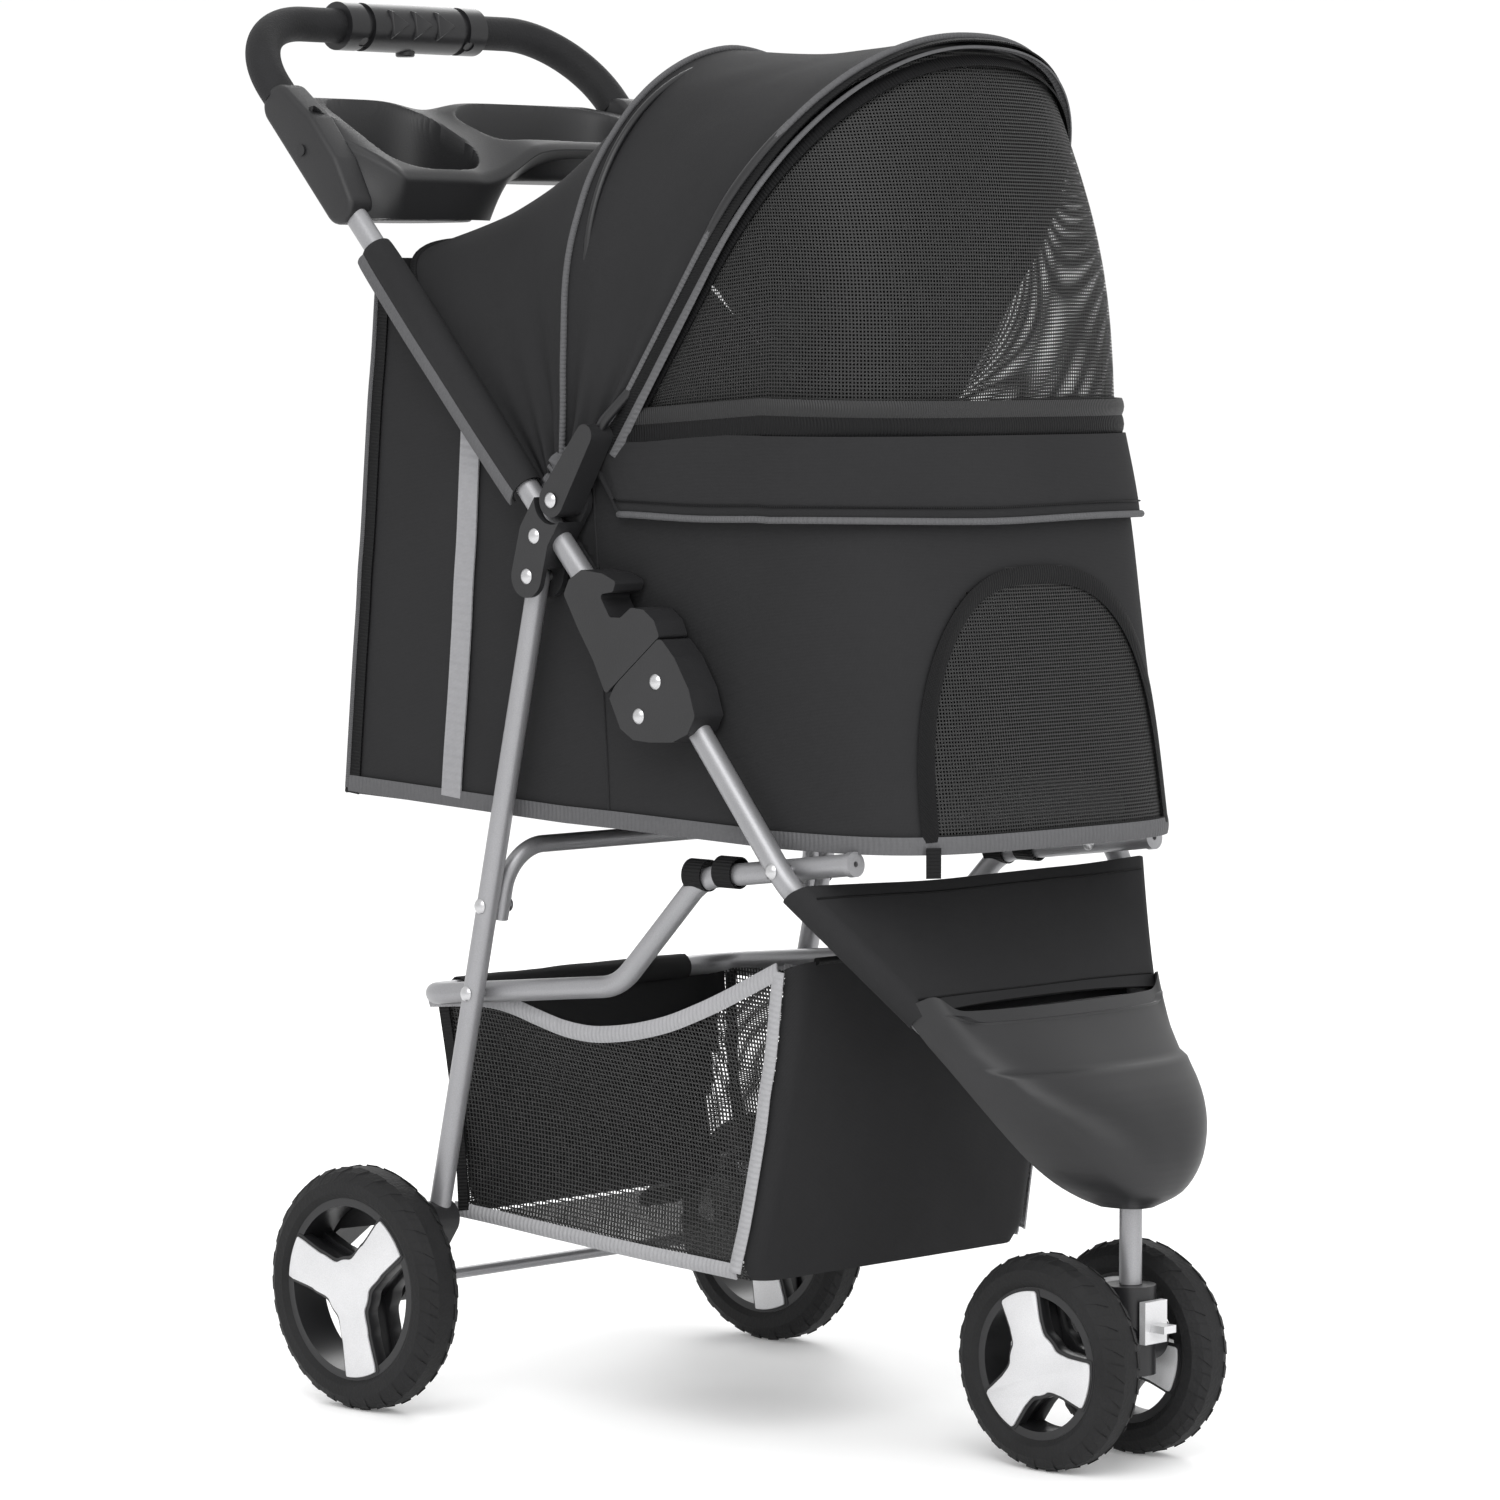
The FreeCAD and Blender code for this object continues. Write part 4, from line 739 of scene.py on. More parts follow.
def declare(piece: bpy.types.Object, cut: Optional[Cut]) -> None:
    """Logs a sheet's cut width and the length that its area gives; a thin closed piece has twice the cut's area.

    Args:
        piece: the finished sheet.
        cut: its cut, or None where it is a trim.
    """
    if cut is None:
        return
    area = sum(polygon.area for polygon in piece.data.polygons) / 2
    list(cut.rests_on)
    LOG.info("sheet: %s, cut %.3f by %.3f m", piece.name, cut.wide, area / cut.wide)


class Tailor:
    """Hangs finished cabin, basket and front pieces on the body that carries them; canopy and window pieces only get
    their place baked into their mesh.
    """

    @staticmethod
    def half(obj: bpy.types.Object, name: str, keep_front: bool) -> Optional[bpy.types.Object]:
        """The part of a piece on one side of the side tubes' plane.

        Args:
            obj: the whole piece.
            name: the part's name.
            keep_front: True for the part ahead of and above the tubes.

        Returns:
            The part, or None where nothing is left.
        """
        part = copy_of(obj, name)
        bpy.ops.object.mode_set(mode="EDIT")
        bpy.ops.mesh.select_all(action="SELECT")
        bpy.ops.mesh.bisect(
            plane_co=TUBE_POINT, plane_no=TUBE_UP,
            clear_inner=keep_front, clear_outer=not keep_front, use_fill=True,
        )
        bpy.ops.object.mode_set(mode="OBJECT")
        if not part.data.polygons:
            bpy.data.objects.remove(part)
            return None
        return part

    def hang(self, obj: bpy.types.Object, carrier: Carrier, slot: str = "canvas") -> list[bpy.types.Object]:
        """Hangs a piece on its carrier's body; a canopy or window piece only gets its place baked into its mesh.

        Args:
            obj: the finished piece.
            carrier: what it belongs to.
            slot: not used.

        Returns:
            The pieces it became.
        """
        if carrier is Carrier.FRONT:
            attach(obj, "front_frame")
            declare(obj, CUTS.get(obj.name))
            return [obj]
        if carrier is Carrier.BASKET:
            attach(obj, "s_bar")
            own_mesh(obj)
            declare(obj, CUTS.get(obj.name))
            return [obj]
        if carrier in (Carrier.CANOPY, Carrier.WINDOW):
            pivot = Vector((0.0, HOOP_PIVOT.y, HOOP_PIVOT.z))
            ahead = HoopPlane.normal
            start = Vector((0.0, 0.02, 0.93)) if carrier is Carrier.CANOPY else Vector((0.0, -0.237, 0.695))
            end = start - ahead * (start - pivot).dot(ahead)
            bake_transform(obj)
            return [obj]
        name = obj.name
        parts = []
        for keep_front in (True, False):
            part = self.half(obj, f"{name}_{'front' if keep_front else 'rear'}", keep_front)
            if part is None:
                continue
            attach(part, "handle_frame")
            if not keep_front:
                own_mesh(part)
            declare(part, CUTS.get(name))
            parts.append(part)
        bpy.data.objects.remove(obj)
        return parts


class HoopPlane:
    """The plane that the canopy's front hoop stands in."""

    low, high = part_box("front_hoop")
    top = Vector((0.0, low[1] + 0.0036, high[2]))
    pivot = Vector((0.0, HOOP_PIVOT.y, HOOP_PIVOT.z))
    way = (Vector((0.0, low[1], high[2])) - Vector((0.0, HOOP_PIVOT.y, HOOP_PIVOT.z))).normalized()
    normal = Vector((0.0, -way.z, way.y))
    length = (Vector((0.0, low[1], high[2])) - Vector((0.0, HOOP_PIVOT.y, HOOP_PIVOT.z))).length


def wrinkle(place: Vector, scale: float, seed: float) -> float:
    """A smooth repeatable wave between -1 and 1, for soft creases."""
    a = math.sin(place.x * scale * 1.3 + place.z * scale * 0.7 + seed * 1.7)
    b = math.sin(place.y * scale * 1.1 - place.z * scale * 0.9 + seed * 2.3 + 1.3 * a)
    c = math.sin((place.x + place.y) * scale * 0.6 + seed + 0.8 * b)
    return (a + b + c) / 3.0


# ---- the cabin ------------------------------------------------------------
@dataclass
class Cabin:
    """The fabric cabin: walls, rear door, lower door, flap, zips, bindings and pad."""

    finish: Finishes
    tailor: Tailor
    half: float = 0.1505
    nose_share: float = 0.36
    corner: float = 3.9
    corner_depth: float = 0.125
    lean: float = 0.161
    top_line: tuple[tuple[float, float], ...] = (
        (-0.30, 0.694), (-0.15, 0.697), (-0.012, 0.688), (0.040, 0.652), (0.222, 0.800), (0.30, 0.860),
    )
    door_half: float = 0.117
    door_low: float = 0.412
    door_high: float = 0.590
    pieces: list[bpy.types.Object] = field(default_factory=list)

    def __post_init__(self) -> None:
        """Reads the cabin's sizes from the part."""
        low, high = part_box("front_wall")
        rear_low, rear_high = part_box("rear_door")
        self.floor = low[2]
        self.zip = high[2]
        self.nose = low[1]
        self.rear = rear_high[1]
        self.rear_floor = rear_low[2]
        self.rear_top = rear_high[2]
        curve = squircle(self.half, self.corner_depth, self.corner, 801)
        length = np.concatenate([[0.0], np.cumsum(np.linalg.norm(np.diff(curve, axis=0), axis=1))])
        self.nose_curve = curve
        self.nose_length = length / length[-1]
        self.start = self.nose + self.corner_depth

    def plan(self, u: float) -> tuple[float, float, float, float]:
        """The outline at the floor for u from the left rear round the nose to the right rear.

        Args:
            u: the share of the outline, 0 to 1.

        Returns:
            x and y, and how far the place leans with the nose and with the rear.
        """
        side = 0.5 - self.nose_share / 2
        if u < side or u > 1 - side:
            s = u / side if u < side else (1 - u) / side
            x = -self.half if u < side else self.half
            y = self.rear + (self.start - self.rear) * s
            return x, y, s, 1 - s
        s = (u - side) / (1 - 2 * side)
        x = float(np.interp(s, self.nose_length, self.nose_curve[:, 0]))
        d = float(np.interp(s, self.nose_length, self.nose_curve[:, 1]))
        return x, self.start - d, 1.0, 0.0

    def wall(self, u: float, v: float) -> Vector:
        """A point on the cabin's wall: v runs from the hem to the zip or the tube."""
        x, y0, nose_lean, rear_lean = self.plan(u)
        rise = (self.rear_floor - self.floor) * min(
            1.0, max(0.0, (y0 - self.start) / (self.rear - self.start))
        )
        bottom = self.floor + rise
        y = y0
        z = bottom
        for _ in range(3):
            top = float(np.interp(y, [p[0] for p in self.top_line], [p[1] for p in self.top_line]))
            z = bottom + (top - bottom) * v
            y = y0 + self.lean * (z - self.floor) * nose_lean - 0.0957 * (z - self.rear_floor) * rear_lean
        place = Vector((x, y, z))
        soft = math.sin(math.pi * min(1.0, max(0.0, v))) ** 0.7
        ripple = 0.0011 * wrinkle(place, 24.0, 0.4) + 0.0006 * wrinkle(place, 60.0, 2.0)
        out = self.outward(u)
        corner = math.exp(-((abs(u - 0.5) - 0.085) / 0.02) ** 2)
        return place + out * (ripple * soft + 0.0012 * corner * soft - 0.0006)

    def outward(self, u: float) -> Vector:
        """The level direction away from the cabin at u."""
        x0, y0, _a, _b = self.plan(max(0.0, u - 0.004))
        x1, y1, _a, _b = self.plan(min(1.0, u + 0.004))
        return Vector((y0 - y1, x1 - x0, 0.0)).normalized() * -1.0 if x1 == x0 else Vector((y1 - y0, x0 - x1, 0.0)).normalized()

    def u_at(self, y: float, side: Side = Side.LEFT) -> float:
        """u of a place on a side wall, from its y at the floor."""
        share = 0.5 - self.nose_share / 2
        u = share * (self.rear - y) / (self.rear - self.start)
        return u if side is Side.LEFT else 1 - u

    def in_door(self, place: Vector, margin: float = 0.0) -> bool:
        """True inside the lower door's arch."""
        if place.y > self.start + 0.03:
            return False
        half = self.door_half - margin
        top = self.door_high - margin
        low = self.door_low
        x = abs(place.x) / half
        z = (place.z - low) / (top - low)
        return place.z > low and x < 1 and z < 1 and x ** 2.7 + max(0.0, z) ** 2.7 < 1

    def door_path(self, t: float) -> Vector:
        """The door's arch from its left foot over the top to its right foot."""
        angle = math.pi * (1 - t)
        c, s = math.cos(angle), math.sin(angle)
        x = self.door_half * math.copysign(abs(c) ** (2 / 2.7), c)
        z = self.door_low - 0.004 + (self.door_high - self.door_low) * max(0.0, s) ** (2 / 2.7)
        return self.on_nose(x, z)

    def on_nose(self, x: float, z: float) -> Vector:
        """The wall's point at a level x and z on the nose."""
        side = 0.5 - self.nose_share / 2
        share = float(np.interp(x, self.nose_curve[:, 0], self.nose_length))
        u = side + share * (1 - 2 * side)
        bottom = self.wall(u, 0.0).z
        top = self.wall(u, 1.0).z
        return self.wall(u, (z - bottom) / (top - bottom))

    def nose_out(self, place: Vector) -> Vector:
        """The direction away from the nose at a place on it."""
        side = 0.5 - self.nose_share / 2
        share = float(np.interp(place.x, self.nose_curve[:, 0], self.nose_length))
        return self.outward(side + share * (1 - 2 * side))

    def add(
        self, obj: bpy.types.Object, material: bpy.types.Material, slot: str = "canvas"
    ) -> bpy.types.Object:
        """Dresses a piece and keeps it for hanging."""
        self.finish.dress(obj, material)
        self.pieces.append((obj, slot))
        return obj

    def walls(self) -> None:
        """Makes the side and front walls in one sheet, and the door's mesh from the same sheet."""
        body = drawn_sheet("cabin_wall", 230, 58, self.wall)
        face_away(body, Vector((0.0, 0.0, 0.55)))
        door = copy_of(body, "door_net")
        delete_faces(body, lambda c: not self.in_door(c))
        delete_faces(door, lambda c: self.in_door(c))
        thicken(body, 0.0016, -1.0)
        thicken(door, 0.0003, -1.0)
        smooth(body, 50)
        smooth(door, 50)
        self.add(body, self.finish.canvas)
        self.add(door, self.finish.net, "mesh")

    def rear_door(self) -> None:
        """Makes the rear door: a slightly crowned sheet in black binding and piping."""

        def shape(u: float, v: float) -> Vector:
            edge = self.wall(0.0, v * 0.995)
            x = (u * 2 - 1) * (self.half - 0.001)
            crown = 0.006 * math.cos(math.pi * (u - 0.5)) * math.sin(math.pi * v)
            return Vector((x, edge.y + crown + 0.0008 * wrinkle(Vector((x, 0, edge.z)), 30, 5.0), edge.z))

        door = drawn_sheet("rear_panel", 60, 60, shape)
        face_away(door, Vector((0.0, 0.0, 0.6)))
        thicken(door, 0.0016, -1.0)
        self.add(smooth(door), self.finish.canvas)
        for side in Side:
            def edge(t: float, side: Side = side) -> Vector:
                place = self.wall(0.0, t)
                return Vector((side.value * abs(place.x), place.y, place.z))

            def out(_t: float, side: Side = side) -> Vector:
                return Vector((side.value, 0.6, 0.0))

            tag = side.name.lower()
            self.add(
                tape(
                    f"rear_binding_{tag}", lambda t: edge(t) + Vector((0, -0.004, 0)), lambda _t: Vector((side.value, 0, 0)), 0.014, 0.0012, 60
                ),
                self.finish.black_binding
            )
            points = [edge(0.01 + 0.98 * i / 40) + Vector((side.value * 0.001, 0.001, 0)) for i in range(41)]
            self.add(rod(f"rear_piping_{tag}", points, 0.0022), self.finish.piping)
            zips = [edge(0.03 + 0.95 * i / 40) + Vector((side.value * -0.012, 0.0035, 0)) for i in range(41)]
            strip = tape(
                f"rear_zip_{tag}", lambda t, z=zips: z[min(40, int(t * 40))].lerp(
                    z[min(40, int(t * 40) + 1)], t * 40 - int(t * 40)
                ), lambda _t: Vector((0, 1, 0)), 0.010, 0.001, 60
            )
            self.add(strip, self.finish.zip)

    def trims(self) -> None:
        """Makes the hem, the door's binding, the zip, the side ribbons and the seams."""
        def hem(t: float) -> Vector:
            return self.wall(t, 0.017)
        self.add(tape("cabin_hem", hem, self.outward, 0.0115, 0.0012, 240, crown=0.0008), self.finish.piping)
        self.add(
            tape("rear_hem", lambda t: Vector(
                ((1 - 2 * t) * self.half, self.wall(0.0, 0.0).y + 0.002, self.wall(0.0, 0.014).z)
            ),
                 lambda _t: Vector((0, 1, 0)), 0.0115, 0.001, 40), self.finish.piping)
        self.add(
            tape(
                "door_binding", lambda t: self.door_path(0.004 + 0.992 * t), lambda t: self.nose_out(self.door_path(t)), 0.0115, 0.0014, 200, crown=0.0012
            ),
            self.finish.black_binding)
        self.add(
            tape(
                "door_sill", lambda t: self.on_nose(
                    (2 * t - 1) * self.door_half * 0.99, self.door_low + 0.003
                ), lambda t: self.nose_out(Vector(((2 * t - 1) * self.door_half, 0, 0))), 0.009, 0.0012, 80
            ),
            self.finish.black_binding)
        self.add(self.tape_end(), self.finish.black_binding)
        start, end = self.u_at(-0.012), self.u_at(-0.012, Side.RIGHT)
        for name, drop, material, width in (
            ("zip_lower", 0.012, self.finish.black_binding, 0.013), ("zip_upper", 0.0, self.finish.zip, 0.011)
        ):
            def line(t: float, drop: float = drop) -> Vector:
                u = start + (end - start) * t
                place = self.wall(u, 1.0)
                place.z -= drop
                return place + self.outward(u) * 0.0016
            self.add(
                tape(
                    name, line, lambda t: self.outward(start + (end - start) * t), width, 0.002, 200, crown=0.0015
                ),
                material
            )
        for side in Side:
            tag = side.name.lower()

            def ribbon(t: float, side: Side = side) -> Vector:
                y = 0.150 + (0.1245 - 0.150) * t
                u = self.u_at(y + 0.006 * t, side)
                return self.wall(u, 0.02 + 0.97 * t)

            self.add(
                tape(
                    f"side_ribbon_{tag}", ribbon, lambda _t, s=side: Vector((s.value, 0, 0)), 0.019, 0.0022, 120
                ),
                self.finish.webbing
            )
            u = self.u_at(-0.005, side)
            self.add(
                rod(f"side_seam_{tag}", [self.wall(u, 0.04 + 0.9 * i / 40) for i in range(41)], 0.0011),
                self.finish.canvas
            )

    def tape_end(self) -> bpy.types.Object:
        """Makes the loose end of the door's binding, hanging below the hem."""
        foot = self.door_path(0.0)
        out = self.nose_out(foot)

        def fall(t: float) -> Vector:
            return foot + Vector((0, 0, 0.004 - 0.020 * t)) + out * 0.003
        return tape("door_tape_end", fall, lambda _t: out, 0.010, 0.0012, 12)

    def flap(self) -> None:
        """Makes the rolled flap below the zip, its piping and its stitch line."""
        start, end = self.u_at(0.002), self.u_at(0.002, Side.RIGHT)
        top, low = self.zip - 0.016, self.zip - 0.071

        def shape(u: float, v: float) -> Vector:
            run = start + (end - start) * u
            slant = 0.030 * (1 - v) * (math.exp(-u / 0.06) - math.exp(-(1 - u) / 0.06))
            run = run + slant
            base = self.wall(run, 0.5)
            foot = self.wall(run, 0.0).z
            head = self.wall(run, 1.0).z
            sag = 0.0009 * math.sin(7 * math.pi * u + 1.0) * (1 - v)
            z = low + (top - low) * v + sag
            base = self.wall(run, (z - foot) / (head - foot))
            puff = 0.0025 + 0.0028 * math.sin(math.pi * (1 - v) * 0.62) + 0.0008 * wrinkle(base, 40.0, 3.0)
            end_fade = min(1.0, u / 0.03, (1 - u) / 0.03)
            return base + self.outward(run) * (0.0022 + puff * (0.35 + 0.65 * end_fade))

        flap = drawn_sheet("window_flap", 220, 18, shape)
        face_away(flap, Vector((0.0, 0.0, 0.66)))
        thicken(flap, 0.0018, -1.0)
        self.add(smooth(flap, 50), self.finish.canvas)
        edge = [
            shape(i / 200, 0.0) + self.outward(start + (end - start) * i / 200) * 0.0006 for i in range(201)
        ]
        self.add(rod("flap_piping", edge, 0.0024), self.finish.piping)
        stitch = [
            shape(0.01 + 0.98 * i / 200, 0.16) + self.outward(
                start + (end - start) * i / 200
            ) * 0.0009 for i in range(201)
        ]
        self.add(rod("flap_stitch", stitch, 0.0006), self.finish.black_binding)
        sides = []
        for u in (0.0, 1.0):
            sides.append(rod("flap_end", [shape(u, i / 16) for i in range(17)], 0.0022))
        self.add(join(sides, "flap_ends"), self.finish.canvas)

    def pad(self) -> None:
        """Makes the quilted pad on the floor board, swollen by cloth simulation."""
        low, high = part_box("floor_cushion")
        clear_selection()
        slope = (self.rear_floor - self.floor) / (self.rear - self.start)
        bpy.ops.mesh.primitive_cube_add(size=1.0, location=(0.0, (low[1] + high[1]) / 2, 0.0))
        pad = bpy.context.object
        pad.name = "floor_pad"
        pad.scale = (high[0] - low[0] - 0.02, high[1] - low[1] - 0.02, 0.014)
        settle(pad)
        bpy.ops.object.mode_set(mode="EDIT")
        bpy.ops.mesh.select_all(action="SELECT")
        bpy.ops.mesh.subdivide(number_cuts=24)
        bpy.ops.object.mode_set(mode="OBJECT")
        for vertex in pad.data.vertices:
            ahead = (self.start - vertex.co.y) / (self.start - low[1])
            if ahead > 0:
                vertex.co.x *= (1 - min(0.995, ahead) ** 3.4) ** (1 / 3.4) * 0.9 + 0.1
        modifier = pad.modifiers.new("voxel", "REMESH")
        modifier.mode = "VOXEL"
        modifier.voxel_size = 0.006
        apply_modifiers(pad)
        self.inflate(pad)
        for vertex in pad.data.vertices:
            quilt = abs(math.sin(vertex.co.y * math.pi / 0.085)) * abs(
                math.sin((vertex.co.x + 0.0425) * math.pi / 0.085)
            )
            if vertex.co.z > 0:
                vertex.co.z -= 0.0035 * math.exp(-quilt * 9.0)
            vertex.co.z += self.floor + 0.0205 + slope * (vertex.co.y - self.start)
        bpy.ops.object.select_all(action="DESELECT")
        merge(pad)
        subdivide(pad)
        activate(pad)
        bpy.ops.object.mode_set(mode="EDIT")
        bpy.ops.mesh.select_all(action="SELECT")
        bpy.ops.uv.cube_project(cube_size=1.0)
        bpy.ops.object.mode_set(mode="OBJECT")
        self.finish.dress(smooth(pad, 60), self.finish.pad)
        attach(pad, "handle_frame")
        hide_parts("floor_cushion")
        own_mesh(pad)

    @staticmethod
    def inflate(pad: bpy.types.Object) -> None:
        """Swells a pad with a short cloth simulation, each point kept near its start."""
        rest = np.array([v.co for v in pad.data.vertices])
        activate(pad)
        modifier = pad.modifiers.new("swell", "CLOTH")
        settings = modifier.settings
        settings.use_pressure = True
        settings.uniform_pressure_force = 4.0
        settings.quality = 4
        settings.effector_weights.gravity = 0.0
        modifier.point_cache.frame_end = 20
        scene = bpy.context.scene
        for number in range(1, 21):
            scene.frame_set(number)
        bpy.ops.object.modifier_apply(modifier=modifier.name)
        scene.frame_set(1)
        moved = np.array([v.co for v in pad.data.vertices]) - rest
        far = np.linalg.norm(moved, axis=1, keepdims=True)
        moved *= np.minimum(1.0, 0.006 / np.maximum(far, 1e-9))
        for vertex, place in zip(pad.data.vertices, rest + moved):
            vertex.co = place

    def build(self) -> None:
        """Makes and hangs the whole cabin."""
        self.walls()
        self.rear_door()
        self.trims()
        self.flap()
        self.pad()
        stand_for = {
            "cabin_wall": ("side_panel_left", "side_panel_right", "front_wall"),
            "door_net": ("lower_door",), "rear_panel": ("rear_door",), "window_flap": ("front_flap",),
        }
        for obj, slot in self.pieces:
            name = obj.name
            parts = self.tailor.hang(obj, Carrier.CABIN, slot)
            if name in stand_for:
                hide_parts(*stand_for[name])
                for part in parts[1:]:
                    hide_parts(*stand_for[name])
            LOG.info("cabin: %s", name)


# ---- the canopy -----------------------------------------------------------
@dataclass
class Canopy:
    """The arched canopy, its mesh window, its piping and bindings."""

    finish: Finishes
    tailor: Tailor
    cabin: Cabin
    half: float = 0.1575

    def __post_init__(self) -> None:
        """Sets out the canopy's arches from the part."""
        _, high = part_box("canopy")
        pivot = Vector((0.0, HOOP_PIVOT.y, HOOP_PIVOT.z))
        tube = Vector((0.0, TUBE_POINT.y, TUBE_POINT.z))
        length = HoopPlane.length
        self.front = Arch(pivot, HoopPlane.way, self.half - 0.002, length + 0.003, 0.046, 2.25, 0.195)
        rear_way = Vector((0.0, -0.0436, 0.999))
        rear_top = (high[2] - pivot.z) / 0.999
        self.rear = Arch(
            pivot + Vector((0, 0.012, 0)), rear_way, self.half + 0.0015, rear_top, 0.02, 1.9, 0.13
        )
        self.back = Arch(tube, TUBE_WAY, self.half, 0.262, 0.012, 5.0, 0.10)

    def shape(self, u: float, v: float) -> Vector:
        """A point on the canopy: u over the arch from the left, v from the front hoop back."""
        split = 0.46
        if v < split:
            s = v / split
            a, b = self.front, self.rear
            hollow = 0.006
        else:
            s = (v - split) / (1 - split)
            a, b = self.rear, self.back
            hollow = 0.016
        place = a.at(u).lerp(b.at(u), s)
        top = math.sin(math.pi * u)
        dip = hollow * math.sin(math.pi * s) * top ** 0.6
        low_edge = min(u, 1 - u)
        inward = Vector((-place.x, 0, 0.70 - place.z)).normalized()
        folds = math.exp(-low_edge / 0.10) * (
            0.004 * math.sin(26 * v + 3.0) + 0.0025 * math.sin(47 * v + 1.0)
        )
        ripple = 0.0012 * wrinkle(place, 22.0, 1.0) + 0.0006 * wrinkle(place, 55.0, 4.0)
        still = min(1.0, v / 0.05, (1 - v) / 0.04, low_edge / 0.02 + 0.15)
        return place + inward * (dip + (folds + ripple) * still)

    def out(self, u: float, v: float) -> Vector:
        """The direction away from the canopy at (u, v)."""
        step = 0.004
        a = self.shape(min(1.0, u + step), v) - self.shape(max(0.0, u - step), v)
        b = self.shape(u, min(1.0, v + step)) - self.shape(u, max(0.0, v - step))
        normal = a.cross(b).normalized()
        place = self.shape(u, v)
        if normal.dot(place - Vector((0.0, 0.0, 0.70))) < 0:
            normal = -normal
        return normal

    def keep(
        self, obj: bpy.types.Object, material: bpy.types.Material, carrier: Carrier = Carrier.CANOPY, slot: str = "canvas"
    ) -> bpy.types.Object:
        """Dresses a piece and passes it to the tailor, which bakes its place into its mesh."""
        self.finish.dress(obj, material)
        self.tailor.hang(obj, carrier, slot)
        LOG.info("canopy: %s", obj.name)
        return obj

    def build(self) -> None:
        """Makes the canopy and everything sewn to it."""
        sheet = drawn_sheet("canopy_sheet", 150, 110, self.shape)
        face_away(sheet, Vector((0.0, 0.0, 0.72)))
        thicken(sheet, 0.0016, -1.0)
        smooth(sheet, 60)
        self.keep(sheet, self.finish.canvas)
        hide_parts("canopy")

        def run(v: float, lift: float, low: float = 0.0, high: float = 1.0, count: int = 121) -> list[Vector]:
            return [
                self.shape(
                    low + (high - low) * i / (count - 1), v
                ) + self.out(low + (high - low) * i / (count - 1), v) * lift for i in range(count)
            ]

        self.keep(rod("rear_hoop_piping", run(0.46, 0.0012), 0.0023), self.finish.piping)
        self.keep(rod("front_piping", run(0.0, 0.001), 0.0026), self.finish.piping)
        ahead = HoopPlane.normal

        def lip(offset: float) -> Callable[[float], Vector]:
            return lambda t: self.front.at(t) + ahead * offset
        outward = lambda t: self.out(t, 0.02)
        self.keep(
            tape("front_channel", lip(0.005), outward, 0.011, 0.0006, 160, crown=0.0015),
            self.finish.black_binding
        )
        self.keep(
            tape("front_binding", lip(0.0125), outward, 0.006, 0.0004, 160, crown=0.001), self.finish.piping
        )
        for side in Side:
            edge_u = 0.006 if side is Side.LEFT else 0.994
            tag = side.name.lower()

            def sleeve(t: float, edge_u: float = edge_u) -> Vector:
                return self.shape(edge_u, 0.02 + 0.97 * t)

            def away(t: float, edge_u: float = edge_u, side: Side = side) -> Vector:
                return (self.out(edge_u, 0.02 + 0.97 * t) + Vector((side.value, 0, 0))).normalized()
            self.keep(
                tape(f"sleeve_binding_{tag}", sleeve, away, 0.015, 0.0014, 140, crown=0.0015),
                self.finish.piping
            )
        self.sleeves()
        back = [self.shape(i / 120, 1.0) for i in range(121)]
        self.keep(rod("canopy_back_edge", back, 0.0026), self.finish.black_binding)
        self.window()

    def sleeves(self) -> None:
        """Makes the cloth channels that hold the canopy on the side tubes, and their bindings."""
        start = TUBE_POINT + TUBE_WAY * 0.030
        length = 0.222
        for side in Side:
            tag = side.name.lower()
            s = side.value

            def shape(u: float, v: float, s: float = s) -> Vector:
                middle = start + TUBE_WAY * length * u
                spread = 0.0102 + 0.0016 * math.sin(math.pi * u) ** 0.5 + 0.0007 * wrinkle(middle, 60.0, 2.0 + s)
                angle = math.radians(135 - 215 * v)
                drop = 0.004 * max(0.0, v - 0.72) / 0.28
                ring = Vector((s * math.cos(angle), 0, 0)) * spread + TUBE_UP * (
                    math.sin(angle) * spread - drop
                )
                return Vector((s * SIDE_TUBE, middle.y, middle.z)) + ring

            sleeve = drawn_sheet(f"canopy_sleeve_{tag}", 90, 26, shape)
            face_away(sleeve, Vector((s * SIDE_TUBE, start.y, start.z)) + TUBE_WAY * length / 2)
            thicken(sleeve, 0.0012, 0.0)
            self.finish.dress(smooth(sleeve, 60), self.finish.canvas)
            edge = tape(
                f"sleeve_edge_{tag}", lambda t: shape(t, 0.86), lambda t, s=s: Vector((s, 0, 0)) - TUBE_UP * 0.35, 0.0125, 0.0012, 90, crown=0.0012
            )
            self.finish.dress(edge, self.finish.piping)
            for piece in (sleeve, edge):
                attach(piece, "handle_frame")
                declare(piece, CUTS.get(piece.name))
                LOG.info("canopy: %s", piece.name)

    def window(self) -> None:
        """Makes the mesh window from the hoop down to the zip."""
        cabin = self.cabin
        start, end = cabin.u_at(-0.012), cabin.u_at(-0.012, Side.RIGHT)
        ahead = HoopPlane.normal
        top = Arch(
            Vector((0.0, HOOP_PIVOT.y, HOOP_PIVOT.z)), HoopPlane.way, self.half - 0.006,
            HoopPlane.length - 0.001, 0.066, 2.25, 0.195
        )

        def shape(u: float, v: float) -> Vector:
            low = cabin.wall(
                start + (end - start) * u, 1.0
            ) - cabin.outward(start + (end - start) * u) * 0.001
            high = top.at(u) + ahead * 0.010
            place = low.lerp(high, v)
            bow = 0.016 * math.sin(math.pi * v) * math.sin(math.pi * u) ** 0.8
            return place + Vector((0, -0.9, 0.3)) * bow

